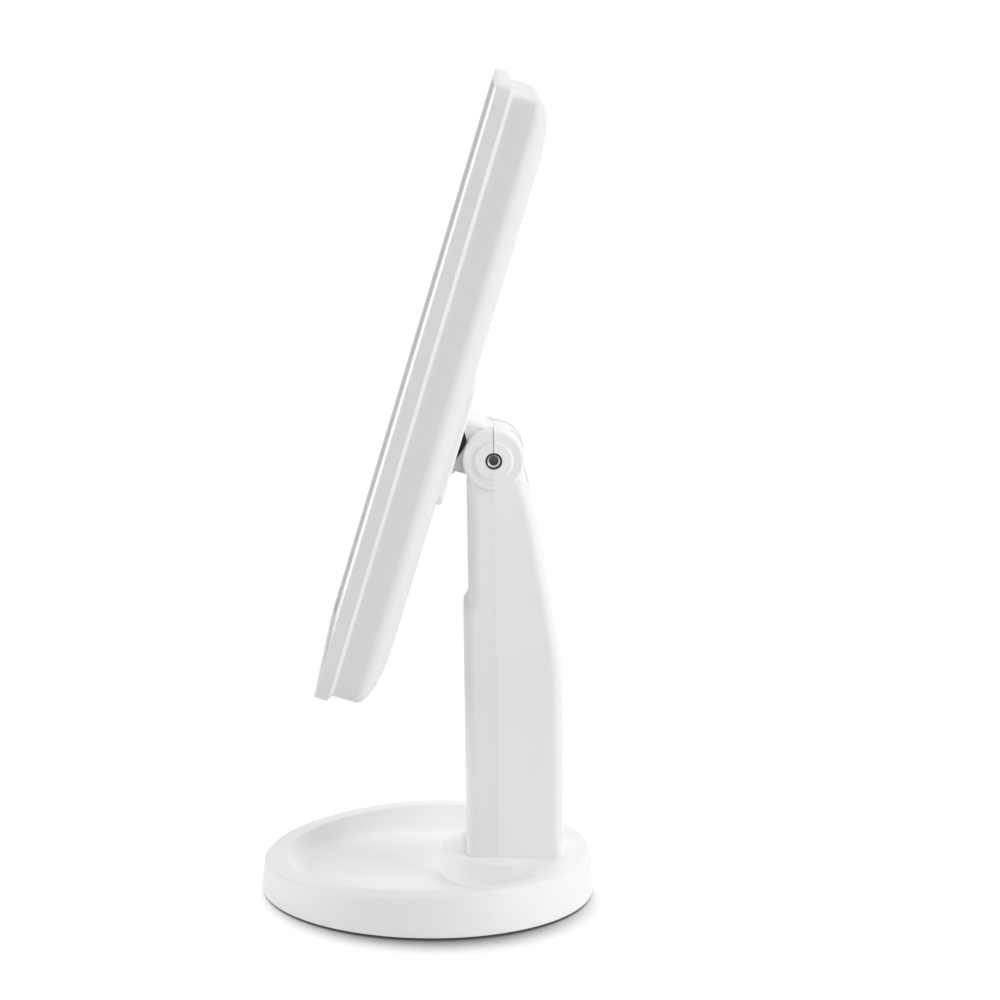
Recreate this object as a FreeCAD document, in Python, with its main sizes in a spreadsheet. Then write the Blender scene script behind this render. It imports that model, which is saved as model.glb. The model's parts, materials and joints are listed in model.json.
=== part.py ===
"""Lighted tabletop mirror: a tilting head on a column that stands on a round tray base.

World frame, in millimetres: Z up from the table, the mirror faces -Y, the hinge axis runs along X.
The column and what it holds are drawn in the stand frame: origin on the hinge axis, Z up the column.
The head is drawn in the head frame: same origin, Z up along the glass, the glass faces -Y.
A depth in the head frame is measured from the hinge axis towards the glass.
"""
import FreeCAD
import Part
import Sketcher
import math
import os
import re

# Driving dimensions, in millimetres and degrees
DIMENSIONS = (
    # Round base with its tray and pedestal
    ("base_radius", 60.0),
    ("base_height", 16.5),
    ("wall_draft", 4.3),
    ("foot_rounding", 0.3),
    ("dip_start", 2.0),
    ("dip_angle", 4.2),
    ("dip_blend", 400.0),
    ("rim_rounding", 2.0),
    ("rim_width", 6.9),
    ("tray_slope_width", 10.0),
    ("pedestal_radius", 23.3),
    ("pedestal_foot_radius", 27.6),
    ("pedestal_setback", 31.8),
    ("tip_radius", 6.2),
    ("floor_tip_radius", 3.0),
    # Underside of the base
    ("pad_inset", 5.0),
    ("pad_thickness", 0.9),
    ("cover_inset", 3.5),
    ("cover_thickness", 2.0),
    ("ballast_inset", 12.5),
    ("ballast_thickness", 1.8),
    ("well_radius", 17.0),
    ("well_roof", 4.0),
    ("socket_depth", 1.4),
    ("socket_gap", 0.06),
    # Place of the hinge axis and lean of the column
    ("hinge_over_base", 144.1),
    ("hinge_inset", 38.6),
    ("stand_lean", 1.6),
    # Column outline, as distances in front of, behind and below the hinge axis
    ("column_half_width", 15.6),
    ("front_upper", 9.6),
    ("front_lower", 11.4),
    ("step_top", 51.5),
    ("step_bottom", 54.5),
    ("step_blend", 3.0),
    ("rear_upper", 10.4),
    ("rear_middle", 15.0),
    ("rear_lower", 23.6),
    ("column_top", 3.5),
    ("column_sink", 1.3),
    ("taper_middle", 21.8),
    ("taper_gap", 6.9),
    ("taper_blend", 40.0),
    ("corner_rounding", 4.0),
    ("seam_gap", 0.02),
    # Column walls and room inside
    ("column_wall", 1.6),
    ("side_wall", 1.3),
    ("room_top", 24.0),
    ("column_floor", 7.0),
    # Ears and slot of the hinge
    ("ear_radius", 10.8),
    ("ear_rise", 1.5),
    ("ear_rounding", 1.35),
    ("boss_radius", 6.9),
    ("boss_rise", 1.0),
    ("boss_rounding", 0.9),
    ("ear_split_gap", 0.2),
    ("slot_half_width", 8.8),
    ("slot_bottom", 11.8),
    # Pivot screws and washers
    ("pivot_radius", 1.9),
    ("pivot_gap", 0.05),
    ("pivot_end", 4.2),
    ("pivot_head_radius", 2.7),
    ("pivot_head_height", 1.8),
    ("pivot_recess_radius", 3.0),
    ("pivot_recess_depth", 2.6),
    ("pivot_key_radius", 1.5),
    ("pivot_key_depth", 1.2),
    ("washer_radius", 10.2),
    ("washer_bore", 2.2),
    ("washer_thickness", 0.25),
    # Small screws
    ("screw_radius", 1.2),
    ("screw_head_radius", 2.4),
    ("screw_head_height", 1.1),
    ("thread_gap", 0.05),
    ("head_gap", 0.2),
    ("cover_screw_inset", 5.2),
    ("cover_screw_length", 6.4),
    ("foot_screw_spread", 9.0),
    ("foot_screw_length", 8.6),
    ("column_screw_spread", 8.5),
    ("column_screw_drop", 34.0),
    ("column_screw_length", 17.0),
    ("column_screw_seat", 12.0),
    ("column_boss_radius", 3.0),
    # Battery door, cells and contacts
    ("door_half_width", 14.0),
    ("door_height", 58.0),
    ("door_foot", 6.4),
    ("door_thickness", 1.6),
    ("door_gap", 0.12),
    ("cell_radius", 7.05),
    ("cell_length", 49.5),
    ("cell_tip_radius", 2.7),
    ("cell_tip_height", 1.0),
    ("cell_gap", 0.1),
    ("cell_front", 2.6),
    ("holder_thickness", 1.4),
    ("holder_reach", 19.5),
    ("strip_width", 8.0),
    ("strip_thickness", 0.4),
    # Leads
    ("lead_radius", 1.0),
    ("lead_room", 1.7),
    ("lead_end", 1.5),
    ("lead_bend", 4.0),
    ("lead_depth", 26.0),
    ("lead_swing", 60.0),
    # Head outline
    ("head_half_width", 65.5),
    ("head_half_length", 108.25),
    ("head_rise", 19.5),
    ("head_tilt", 15.9),
    ("head_corner", 8.0),
    ("front_depth", 37.4),
    ("back_depth", 16.15),
    # Front frame, gasket and glass
    ("frame_depth", 6.0),
    ("frame_rounding", 0.4),
    ("ledge_height", 1.3),
    ("ledge_width", 2.15),
    ("lip_width", 2.0),
    ("shelf_reach", 6.2),
    ("shelf_corner", 4.0),
    ("gasket_width", 1.2),
    ("gasket_recess", 0.05),
    ("glass_recess", 0.7),
    ("glass_thickness", 2.0),
    # Carrier, lights and touch switch behind the glass
    ("carrier_thickness", 1.8),
    ("window_inset", 15.5),
    ("window_half_width", 4.0),
    ("window_end_inset", 23.25),
    ("board_half_width", 4.5),
    ("board_end_inset", 16.25),
    ("board_thickness", 1.2),
    ("board_gap", 0.8),
    ("chip_size", 2.8),
    ("chip_height", 0.7),
    ("chip_end_inset", 4.0),
    ("touch_rise", 18.5),
    ("touch_half_width", 13.0),
    ("touch_half_height", 11.0),
    ("sensor_radius", 5.0),
    ("led_lead_radius", 0.8),
    ("led_lead_overlap", 5.0),
    # Rear shell
    ("shell_wall", 2.0),
    ("shell_rounding_depth", 7.2),
    ("shell_rounding_length", 18.0),
    ("shell_corner", 6.0),
    # Hinge bracket on the back of the head
    ("plate_half_width", 26.0),
    ("plate_half_length", 22.1),
    ("plate_rise", 2.4),
    ("plate_thickness", 2.95),
    ("plate_corner", 5.0),
    ("plate_rounding", 1.0),
    ("barrel_radius", 10.4),
    ("barrel_half_length", 8.45),
    ("barrel_bore", 4.5),
    ("barrel_bore_half_length", 3.6),
    ("neck_top", 11.6),
    ("neck_rounding", 2.4),
    ("neck_bottom", 9.3),
    ("web_half_width", 5.0),
    ("web_reach", 11.6),
    ("gusset_drop", 12.0),
    ("window_top", 8.6),
    ("window_bottom", 10.5),
    ("window_point_reach", 10.2),
    ("window_point_rise", 2.1),
    ("grommet_half_length", 7.85),
    ("bracket_screw_spread", 19.0),
    ("bracket_screw_reach", 14.5),
    ("bracket_screw_length", 4.2),
    # Fits and overruns
    ("fit_gap", 0.25),
    ("rest_gap", 0.1),
    ("overrun", 1.0),
)

# Shares of a size, and counts
TRAY_FLOOR_SHARE = 24 / 55
LIP_ROUNDING_SHARE = 4 / 55
CORNER_GROWTH_SHARE = 0.35
ROUNDING_STEPS = 6
DISH_STEPS = 6
DISH_TURN = 60
CHIPS_PER_BOARD = 10
COVER_SCREWS = 4
HEX_SIDES = 6
SMALL = 0.001

# Dimensions that follow from the driving ones
DERIVED = (
    ("tray_radius", "base_radius - rim_width"),
    ("tray_floor_radius", "tray_radius - tray_slope_width"),
    ("tray_floor", f"base_height * {TRAY_FLOOR_SHARE}"),
    ("lip_rounding", f"base_height * {LIP_ROUNDING_SHARE}"),
    ("pedestal_offset", "base_radius - pedestal_setback"),
    ("hinge_setback", "base_radius - hinge_inset"),
    ("hinge_height", "base_height + hinge_over_base"),
    ("column_bottom", "hinge_over_base + column_sink"),
    ("door_bottom", "column_bottom - door_foot"),
    ("door_top", "door_bottom - door_height"),
    ("taper_bottom", "door_top - taper_gap"),
    ("pad_radius", "base_radius - pad_inset"),
    ("cover_radius", "base_radius - cover_inset"),
    ("cover_screw_circle", "cover_radius - cover_screw_inset"),
    ("ballast_radius", "cover_radius - ballast_inset"),
    ("window_half_length", "head_half_length - window_end_inset"),
    ("board_half_length", "head_half_length - board_end_inset"),
    ("chip_pitch", f"2 * (window_half_length - chip_end_inset) / {CHIPS_PER_BOARD - 1}"),
)

# Lengths that several pieces share, as sums of the dimensions
COVER_TOP = "pad_thickness + cover_thickness"
COVER_SEAT = "pad_thickness + screw_head_height"
FOOT_SEAT = "-(column_bottom + well_roof - overrun)"
SEAT_DEPTH = "front_depth - glass_recess - glass_thickness"
CARRIER_BACK = f"{SEAT_DEPTH} - carrier_thickness"
BOARD_FRONT = f"{CARRIER_BACK} - board_gap"
BOARD_BACK = f"{BOARD_FRONT} - board_thickness"
SHELL_FRONT = "front_depth - frame_depth"
ROUNDING_START = "back_depth + shell_rounding_depth"
PLATE_BACK = "back_depth - plate_thickness"
TOUCH_HEIGHT = "head_rise - head_half_length + touch_rise"
EAR_FACE = "column_half_width + ear_rise"
BOSS_FACE = f"{EAR_FACE} + boss_rise"
RECESS_FLOOR = f"{BOSS_FACE} - pivot_recess_depth"
WINDOW_MIDDLE = "head_half_width - window_inset"
COLUMN_REACH = "rear_lower + front_lower + overrun"
CELL_FLOOR = "column_bottom - column_floor - holder_thickness - strip_thickness"

ORIGIN = FreeCAD.Vector(0, 0, 0)
ALONG_X = FreeCAD.Vector(1, 0, 0)
ALONG_Y = FreeCAD.Vector(0, 1, 0)
ALONG_Z = FreeCAD.Vector(0, 0, 1)
RIGHT_ANGLE = 90
FULL_TURN = 360
SIDES = ("", "-")
TURNS = {
    "x": FreeCAD.Rotation(ALONG_Y, RIGHT_ANGLE),
    "y": FreeCAD.Rotation(ALONG_X, -RIGHT_ANGLE),
    "z": FreeCAD.Rotation(ALONG_Z, 0),
}

doc = FreeCAD.newDocument("tabletop_mirror")
sheet = doc.addObject("Spreadsheet::Sheet", "Dims")
rows = [(alias, str(amount)) for alias, amount in DIMENSIONS]
rows += [(alias, f"={formula}") for alias, formula in DERIVED]
for row, (alias, content) in enumerate(rows, start=1):
    sheet.set(f"A{row}", alias)
    sheet.setAlias(f"B{row}", alias)
    sheet.set(f"B{row}", content)
doc.recompute()

ALIASES = {alias for alias, content in rows}
WORD = re.compile(r"[a-z][a-z_]*")


def on_sheet(text):
    """The expression with every dimension name pointed at the sheet."""
    return WORD.sub(lambda found: f"Dims.{found[0]}" if found[0] in ALIASES else found[0], text)


def value(text):
    """The number an expression has now."""
    return float(sheet.evalExpression(on_sheet(text)))


def bind(item, sizes):
    """Tie each property of an item to its expression."""
    for path, text in sizes.items():
        item.setExpression(path, on_sheet(text))


# Solids and booleans
def cylinder(name, radius, low, high, axis="z", at=("0", "0", "0")):
    """A cylinder between two stations along an axis, through a point across it."""
    item = doc.addObject("Part::Cylinder", name)
    item.Placement = FreeCAD.Placement(ORIGIN, TURNS[axis])
    spot = dict(zip("xyz", at))
    spot[axis] = low
    bind(item, {"Radius": radius, "Height": f"({high}) - ({low})"})
    bind(item, {f"Placement.Base.{way}": text for way, text in spot.items()})
    return item


def block(name, across, along, up):
    """A box from three pairs of low and high expressions."""
    item = doc.addObject("Part::Box", name)
    for side, way, (low, high) in zip(("Length", "Width", "Height"), "xyz", (across, along, up)):
        bind(item, {side: f"({high}) - ({low})", f"Placement.Base.{way}": low})
    return item


def both_ways(text):
    """A pair of expressions that reach equally to both sides of zero."""
    return f"-({text})", text


def fuse(name, *items):
    """The union of several solids."""
    item = doc.addObject("Part::MultiFuse", name)
    item.Shapes = list(items)
    return item


def cut(name, base, *tools):
    """A solid less one tool, or less the union of several."""
    item = doc.addObject("Part::Cut", name)
    item.Base = base
    item.Tool = tools[0] if len(tools) == 1 else fuse(f"{name}_tools", *tools)
    return item


def common(name, base, tool):
    """What two solids share."""
    item = doc.addObject("Part::Common", name)
    item.Base = base
    item.Tool = tool
    return item


def group(name, items):
    """Separate solids that share one node."""
    item = doc.addObject("Part::Compound", name)
    item.Links = list(items)
    return item


def mirrored(name, source):
    """The same solid on the other side of the middle plane."""
    item = doc.addObject("Part::Mirroring", name)
    item.Source = source
    item.Normal = ALONG_X
    return item


# Bodies and sketches
def new_body(name):
    """An empty body."""
    return doc.addObject("PartDesign::Body", name)


def new_sketch(body, name, role, lift="0"):
    """A sketch on an origin plane of the body, lifted along the plane's normal."""
    sketch = body.newObject("Sketcher::SketchObject", name)
    plane = next(datum for datum in body.Origin.OriginFeatures if datum.Role == role)
    sketch.AttachmentSupport = (plane, [""])
    sketch.MapMode = "FlatFace"
    bind(sketch, {"AttachmentOffset.Base.z": lift})
    return sketch


def hold(sketch, kind, *terms, size):
    """Add a sized constraint and tie it to an expression."""
    index = sketch.addConstraint(Sketcher.Constraint(kind, *terms, value(size)))
    bind(sketch, {f"Constraints[{index}]": size})


def pin(sketch, geometry, point, spot):
    """Fix a point of the sketch by its two distances from the origin."""
    for kind, text in zip(("DistanceX", "DistanceY"), spot):
        hold(sketch, kind, -1, 1, geometry, point, size=text)


def spot_vector(spot):
    """The sketch point that a pair of expressions names."""
    return FreeCAD.Vector(value(spot[0]), value(spot[1]), 0)


def outline(body, name, role, corners, bulges=None):
    """A closed sketch through the corners, straight except where a side bulges round a centre.

    A bulge gives the side's radius and centre; the side takes the shorter way round.
    """
    sketch = new_sketch(body, name, role)
    bulges = bulges or {}
    points = [spot_vector(corner) for corner in corners]
    first_ends, last_ends = [], []
    for index, (start, end) in enumerate(zip(points, points[1:] + points[:1])):
        backward = False
        if index in bulges:
            radius, centre = bulges[index]
            middle = spot_vector(centre)
            angles = [math.atan2(point.y - middle.y, point.x - middle.x) for point in (start, end)]
            backward = (angles[1] - angles[0]) % (2 * math.pi) > math.pi
            circle = Part.Circle(middle, ALONG_Z, value(radius))
            sketch.addGeometry(Part.ArcOfCircle(circle, *(reversed(angles) if backward else angles)))
        else:
            sketch.addGeometry(Part.LineSegment(start, end))
        first_ends.append(2 if backward else 1)
        last_ends.append(1 if backward else 2)
    for index in range(len(points)):
        following = (index + 1) % len(points)
        sketch.addConstraint(
            Sketcher.Constraint("Coincident", index, last_ends[index], following, first_ends[following]))
    for index, corner in enumerate(corners):
        pin(sketch, index, first_ends[index], corner)
    for index, (radius, centre) in bulges.items():
        hold(sketch, "Radius", index, size=radius)
    return sketch


def blended(corners, radii):
    """The corners and bulges of an outline whose chosen corners are rounded by tangent arcs."""
    points, bulges = [], {}
    for index, corner in enumerate(corners):
        if index not in radii:
            points.append(corner)
            continue
        radius = radii[index]
        into = direction(corners[index - 1], corner)
        away = direction(corner, corners[(index + 1) % len(corners)])
        turn = f"({into[0]} * {away[1]} - {into[1]} * {away[0]})"
        reach = f"{radius} * abs({turn}) / (1 + {into[0]} * {away[0]} + {into[1]} * {away[1]})"
        start = tuple(f"{spot} - {reach} * {way}" for spot, way in zip(corner, into))
        end = tuple(f"{spot} + {reach} * {way}" for spot, way in zip(corner, away))
        inward = f"{radius} * {turn} / abs({turn})"
        centre = (f"{start[0]} - {inward} * {into[1]}", f"{start[1]} + {inward} * {into[0]}")
        bulges[len(points)] = (radius, centre)
        points += [start, end]
    return points, bulges


def direction(start, end):
    """The unit direction from one corner to the next."""
    across, up = (f"(({last}) - ({first}))" for first, last in zip(start, end))
    length = f"sqrt({across}^2 + {up}^2)"
    return f"({across} / {length})", f"({up} / {length})"


def rings(body, name, role, radius, centres=(("0", "0"),), lift="0"):
    """A sketch of equal circles."""
    sketch = new_sketch(body, name, role, lift)
    for index, centre in enumerate(centres):
        sketch.addGeometry(Part.Circle(spot_vector(centre), ALONG_Z, value(radius)))
        hold(sketch, "Radius", index, size=radius)
        pin(sketch, index, 3, centre)
    return sketch


def panel(body, name, role, half_width, half_height, corner, rise="0", lift="0"):
    """A rectangle with rounded corners, centred on the sketch's upright axis."""
    sketch = new_sketch(body, name, role, lift)
    wide, high, bend, centre = value(half_width), value(half_height), value(corner), value(rise)
    signs = ((1, 1), (-1, 1), (-1, -1), (1, -1))
    for turn, (side, level) in enumerate(signs):
        middle = FreeCAD.Vector(side * (wide - bend), centre + level * (high - bend), 0)
        circle = Part.Circle(middle, ALONG_Z, bend)
        start = math.radians(turn * RIGHT_ANGLE)
        sketch.addGeometry(Part.ArcOfCircle(circle, start, start + math.radians(RIGHT_ANGLE)))
    arcs = len(signs)
    for index in range(arcs):
        following = (index + 1) % arcs
        start = sketch.Geometry[index].EndPoint
        end = sketch.Geometry[following].StartPoint
        line = sketch.addGeometry(Part.LineSegment(start, end))
        sketch.addConstraint(Sketcher.Constraint("Tangent", index, 2, line, 1))
        sketch.addConstraint(Sketcher.Constraint("Tangent", line, 2, following, 1))
        sketch.addConstraint(Sketcher.Constraint("Vertical" if index % 2 else "Horizontal", line))
    for index in range(1, arcs):
        sketch.addConstraint(Sketcher.Constraint("Equal", 0, index))
    hold(sketch, "Radius", 0, size=corner)
    pin(sketch, 0, 3, (f"({half_width}) - ({corner})", f"({rise}) + ({half_height}) - ({corner})"))
    pin(sketch, 2, 3, (f"({corner}) - ({half_width})", f"({rise}) - ({half_height}) + ({corner})"))
    return sketch


def crescent(body, name, outer, inner, round_tip, lift):
    """The tray seen from above: a round dish with the pedestal's circle bitten out and rounded tips."""
    sketch = new_sketch(body, name, "XY_Plane", lift)
    dish, bite, tip, offset = value(outer), value(inner), value(round_tip), value("pedestal_offset")
    tip_y = ((dish - tip) ** 2 - (bite + tip) ** 2 + offset ** 2) / (2 * offset)
    tip_x = math.sqrt((dish - tip) ** 2 - tip_y ** 2)
    on_dish = math.atan2(tip_y, tip_x)
    on_bite = math.atan2(tip_y - offset, tip_x)
    half_turn = math.pi
    arcs = (
        (ORIGIN, dish, half_turn - on_dish, on_dish),
        (FreeCAD.Vector(tip_x, tip_y, 0), tip, on_dish, on_bite + half_turn),
        (FreeCAD.Vector(0, offset, 0), bite, half_turn - on_bite, on_bite),
        (FreeCAD.Vector(-tip_x, tip_y, 0), tip, -on_bite, half_turn - on_dish),
    )
    for centre, radius, start, end in arcs:
        circle = Part.Circle(centre, ALONG_Z, radius)
        sketch.addGeometry(Part.ArcOfCircle(circle, start, end))
    joins = ((0, 2, 1, 1), (1, 2, 2, 2), (2, 1, 3, 1), (3, 2, 0, 1))
    for join in joins:
        sketch.addConstraint(Sketcher.Constraint("Tangent", *join))
    for index, radius in enumerate((outer, round_tip, inner, round_tip)):
        hold(sketch, "Radius", index, size=radius)
    sketch.addConstraint(Sketcher.Constraint("Coincident", 0, 3, -1, 1))
    pin(sketch, 2, 3, ("0", "pedestal_offset"))
    return sketch


# Features of a body
def feature(body, kind, name, profile, sizes):
    """A sketch-based feature with its sizes tied to the sheet."""
    item = body.newObject(f"PartDesign::{kind}", name)
    item.Profile = profile
    bind(item, sizes)
    return item


def pad(body, name, profile, length, symmetric=False):
    """Material along the sketch's normal, or equally to both sides."""
    item = feature(body, "Pad", name, profile, {"Length": length})
    item.SideType = "Symmetric" if symmetric else "One side"
    return item


def pocket(body, name, profile, length, symmetric=False):
    """A cut against the sketch's normal, or equally to both sides."""
    item = feature(body, "Pocket", name, profile, {"Length": length})
    item.SideType = "Symmetric" if symmetric else "One side"
    return item


def middle_of(edge):
    """The point half way along an edge."""
    return edge.valueAt((edge.FirstParameter + edge.LastParameter) / 2)


def pick_edges(body, test):
    """The body's last feature with the names of the edges whose middle passes the test."""
    doc.recompute()
    chosen = [
        f"Edge{number}"
        for number, edge in enumerate(body.Tip.Shape.Edges, start=1)
        if test(middle_of(edge), edge)
    ]
    return body.Tip, chosen


def round_edges(body, name, radius, test):
    """Round the chosen edges."""
    base = pick_edges(body, test)
    item = body.newObject("PartDesign::Fillet", name)
    item.Base = base
    bind(item, {"Radius": radius})
    return item


def near(first, second):
    """Two lengths that are the same."""
    return abs(first - second) < SMALL


def border_test(half_width, half_height, rise):
    """A test for the straight edges round a panel; its tangent corners follow them."""
    wide, high, middle = value(half_width), value(half_height), value(rise)
    return lambda at: near(abs(at.x), wide) or near(abs(at.z - middle), high)


# Places of the pieces
def turned(item, axis, angle):
    """Set a piece on the hinge axis and turn it about that axis."""
    item.Placement = FreeCAD.Placement(ORIGIN, FreeCAD.Rotation(axis, value(angle)))
    bind(item, {"Placement.Rotation.Angle": angle})
    bind(item, {"Placement.Base.y": "hinge_setback", "Placement.Base.z": "hinge_height"})
    return item


def in_stand(item):
    """Set a piece of the column on the hinge axis, leaning with the column."""
    return turned(item, ALONG_X, "stand_lean")


def in_head(item):
    """Set a piece of the head on the hinge axis, tilted back with the glass."""
    return turned(item, -ALONG_X, "head_tilt")


def each(name, spots, make):
    """One numbered item for every spot."""
    return [make(f"{name}_{number}", spot) for number, spot in enumerate(spots, start=1)]


def screw(name, seat, length, axis, at, onward="+"):
    """A pan-head screw: its head stands behind the seat and its shank runs onward from it."""
    back = "-" if onward == "+" else "+"
    outside = f"{seat} {back} screw_head_height"
    end = f"{seat} {onward} {length}"
    head = cylinder(f"{name}_head", "screw_head_radius", *sorted((seat, outside), key=value), axis, at)
    shank = cylinder(f"{name}_shank", "screw_radius", *sorted((outside, end), key=value), axis, at)
    return fuse(name, head, shank)


def screw_hole(name, seat, length, axis, at):
    """The clearance round a screw: a well for the head and a hole for the shank."""
    well = cylinder(f"{name}_well", "screw_head_radius + head_gap",
                    f"{seat} - screw_head_height - overrun", seat, axis, at)
    hole = cylinder(f"{name}_hole", "screw_radius + thread_gap",
                    f"{seat} - overrun", f"{seat} + {length} + thread_gap", axis, at)
    return fuse(name, well, hole)


# Base
def build_tray():
    """Drafted disc with a rim that dips to the front, and a dish that wraps round the pedestal."""
    body = new_body("tray_blank")
    top_radius = "base_radius - (base_height - pad_thickness) * tan(wall_draft)"
    corners = (("0", "pad_thickness"), ("base_radius", "pad_thickness"), (top_radius, "base_height"),
               ("0", "base_height"))
    profile = outline(body, "disc_profile", "XZ_Plane", corners)
    disc = feature(body, "Revolution", "disc", profile, {})
    disc.ReferenceAxis = (profile, ["V_Axis"])

    # The rim is level behind the crease and falls in a straight line in front of it
    reach = "base_radius + overrun"
    crease = "dip_start + dip_blend * tan(dip_angle / 2)"
    above = "base_height + overrun"
    corners = ((crease, "base_height"),
               (f"{crease} - dip_blend * sin(dip_angle)", "base_height - dip_blend * (1 - cos(dip_angle))"),
               (f"-({reach})", f"base_height - ({reach} + dip_start) * tan(dip_angle)"),
               (f"-({reach})", above), (crease, above))
    bulges = {0: ("dip_blend", (crease, "base_height - dip_blend"))}
    dip = outline(body, "dip_profile", "YZ_Plane", corners, bulges)
    pocket(body, "rim_dip", dip, f"2 * ({reach})", True)
    foot, wall = value("pad_thickness"), value(top_radius) - SMALL
    rim, dip_start = value("base_height"), value("dip_start")
    fall = math.tan(math.radians(value("dip_angle")))
    lowest = rim - (value("base_radius") + dip_start) * fall
    round_edges(body, "foot_edge", "foot_rounding", lambda at, edge: near(at.z, foot))
    round_edges(body, "rim_edge", "rim_rounding",
                lambda at, edge: math.hypot(at.x, at.y) > wall and at.z > lowest)

    # The dish widens from its flat floor to a mouth a little above the rim along a rounded wall
    sections = []
    for step in range(DISH_STEPS + 1):
        angle = DISH_TURN * step / DISH_STEPS
        out = f"sin({angle}) / sin({DISH_TURN})"
        up = f"(1 - cos({angle})) / (1 - cos({DISH_TURN}))"
        sections.append(crescent(
            body, f"dish_{step}", f"tray_floor_radius + (tray_radius - tray_floor_radius) * {out}",
            f"pedestal_foot_radius - (pedestal_foot_radius - pedestal_radius) * {out}",
            f"floor_tip_radius + (tip_radius - floor_tip_radius) * {out}",
            f"tray_floor + ({above} - tray_floor) * {up}"))
    dish = feature(body, "SubtractiveLoft", "dish", sections[0], {})
    dish.Sections = sections[1:]
    inside = value("tray_radius + overrun")
    near_rim = value("overrun / 2")

    def on_lip(at, edge):
        height = rim - max(0, dip_start - at.y) * fall
        curved = not isinstance(edge.Curve, Part.Line)
        return curved and abs(at.z - height) < near_rim and math.hypot(at.x, at.y) < inside

    round_edges(body, "dish_lip_edge", "lip_rounding", on_lip)
    return body


def cover_screw_spots():
    """Where the cover screws stand, spread evenly round the base."""
    step = FULL_TURN / COVER_SCREWS
    turns = [step / 2 + step * index for index in range(COVER_SCREWS)]
    return [tuple(f"cover_screw_circle * {wave}({turn})" for wave in ("cos", "sin")) + ("0",)
            for turn in turns]


def foot_screw_spots():
    """Where the foot screws stand, at both sides of the column's middle."""
    middle = "(rear_lower - front_lower) / 2"
    return [(f"{side}foot_screw_spread", middle, "0") for side in SIDES]


def build_socket():
    """The shallow socket in the pedestal that takes the foot of the column."""
    socket = new_body("column_socket")
    footprint = panel(socket, "socket_outline", "XY_Plane", "column_half_width + socket_gap",
                      "(rear_lower + front_lower) / 2 + socket_gap", "corner_rounding + socket_gap",
                      rise="(rear_lower - front_lower) / 2", lift="-column_bottom")
    pad(socket, "socket_room", footprint, "base_height")
    return in_stand(socket)


def build_base():
    """The base, its cover, ballast, pad and screws."""
    blank = build_tray()
    over_pedestal = ("0", "pedestal_offset", "0")
    seat = cylinder("cover_seat", "cover_radius + fit_gap", "pad_thickness - overrun", COVER_TOP)
    room = cylinder("ballast_room", "ballast_radius + fit_gap", "pad_thickness",
                    f"{COVER_TOP} + ballast_thickness + rest_gap")
    well = cylinder("screw_well", "well_radius", "pad_thickness", "base_height - socket_depth - well_roof",
                    at=over_pedestal)
    foot_holes = each("foot_hole", foot_screw_spots(), lambda name, spot: in_stand(
        screw_hole(name, FOOT_SEAT, "foot_screw_length", "z", spot)))
    pilots = each("cover_pilot", cover_screw_spots(), lambda name, spot: screw_hole(
        name, COVER_SEAT, "cover_screw_length", "z", spot))
    tray = cut("base_tray", blank, seat, room, well, build_socket(), *foot_holes, *pilots)

    plate = cylinder("cover_plate", "cover_radius", "pad_thickness", COVER_TOP)
    holes = each("cover_hole", cover_screw_spots(), lambda name, spot: screw_hole(
        name, COVER_SEAT, "cover_screw_length", "z", spot))
    cover = cut("base_cover", plate, *holes)
    slab = cylinder("ballast_slab", "ballast_radius", COVER_TOP, f"{COVER_TOP} + ballast_thickness")
    notch = cylinder("ballast_notch", "well_radius", "0", "base_height", at=over_pedestal)
    ballast = cut("ballast_plate", slab, notch)
    mat = cylinder("anti_slip_pad", "pad_radius", "0", "pad_thickness")
    cover_screws = group("cover_screws", each("cover_screw", cover_screw_spots(), lambda name, spot: screw(
        name, COVER_SEAT, "cover_screw_length", "z", spot)))
    foot_screws = group("foot_screws", each("foot_screw", foot_screw_spots(), lambda name, spot: screw(
        name, FOOT_SEAT, "foot_screw_length", "z", spot)))
    return [tray, cover, ballast, mat, cover_screws, in_stand(foot_screws)]


# Column
def build_column_outside():
    """The column as one solid: stepped front, tapered rear, ears and hinge bosses."""
    body = new_body("column_outside")
    corners = (("-front_upper", "-column_top"), ("-front_upper", "-step_top"),
               ("-front_lower", "-step_bottom"), ("-front_lower", "-column_bottom"),
               ("rear_lower", "-column_bottom"), ("rear_lower", "-taper_bottom"),
               ("rear_middle", "-taper_middle"), ("rear_upper", "-column_top"))
    radii = {1: "step_blend", 2: "step_blend", 5: "taper_blend", 6: "taper_blend"}
    profile = outline(body, "column_outline", "YZ_Plane", *blended(corners, radii))
    pad(body, "column_block", profile, "2 * column_half_width", True)
    side, ends = value("column_half_width"), (-value("column_top"), -value("column_bottom"))
    round_edges(body, "column_corners", "corner_rounding",
                lambda at, edge: near(abs(at.x), side) and not any(near(at.z, end) for end in ends))
    pad(body, "ears", rings(body, "ear_circle", "YZ_Plane", "ear_radius"), f"2 * ({EAR_FACE})", True)
    ear_face, boss_face = value(EAR_FACE), value(BOSS_FACE)
    round_edges(body, "ear_edges", "ear_rounding", lambda at, edge: near(abs(at.x), ear_face))
    pad(body, "bosses", rings(body, "boss_circle", "YZ_Plane", "boss_radius"), f"2 * ({BOSS_FACE})", True)
    round_edges(body, "boss_edges", "boss_rounding", lambda at, edge: near(abs(at.x), boss_face))
    return body


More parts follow.
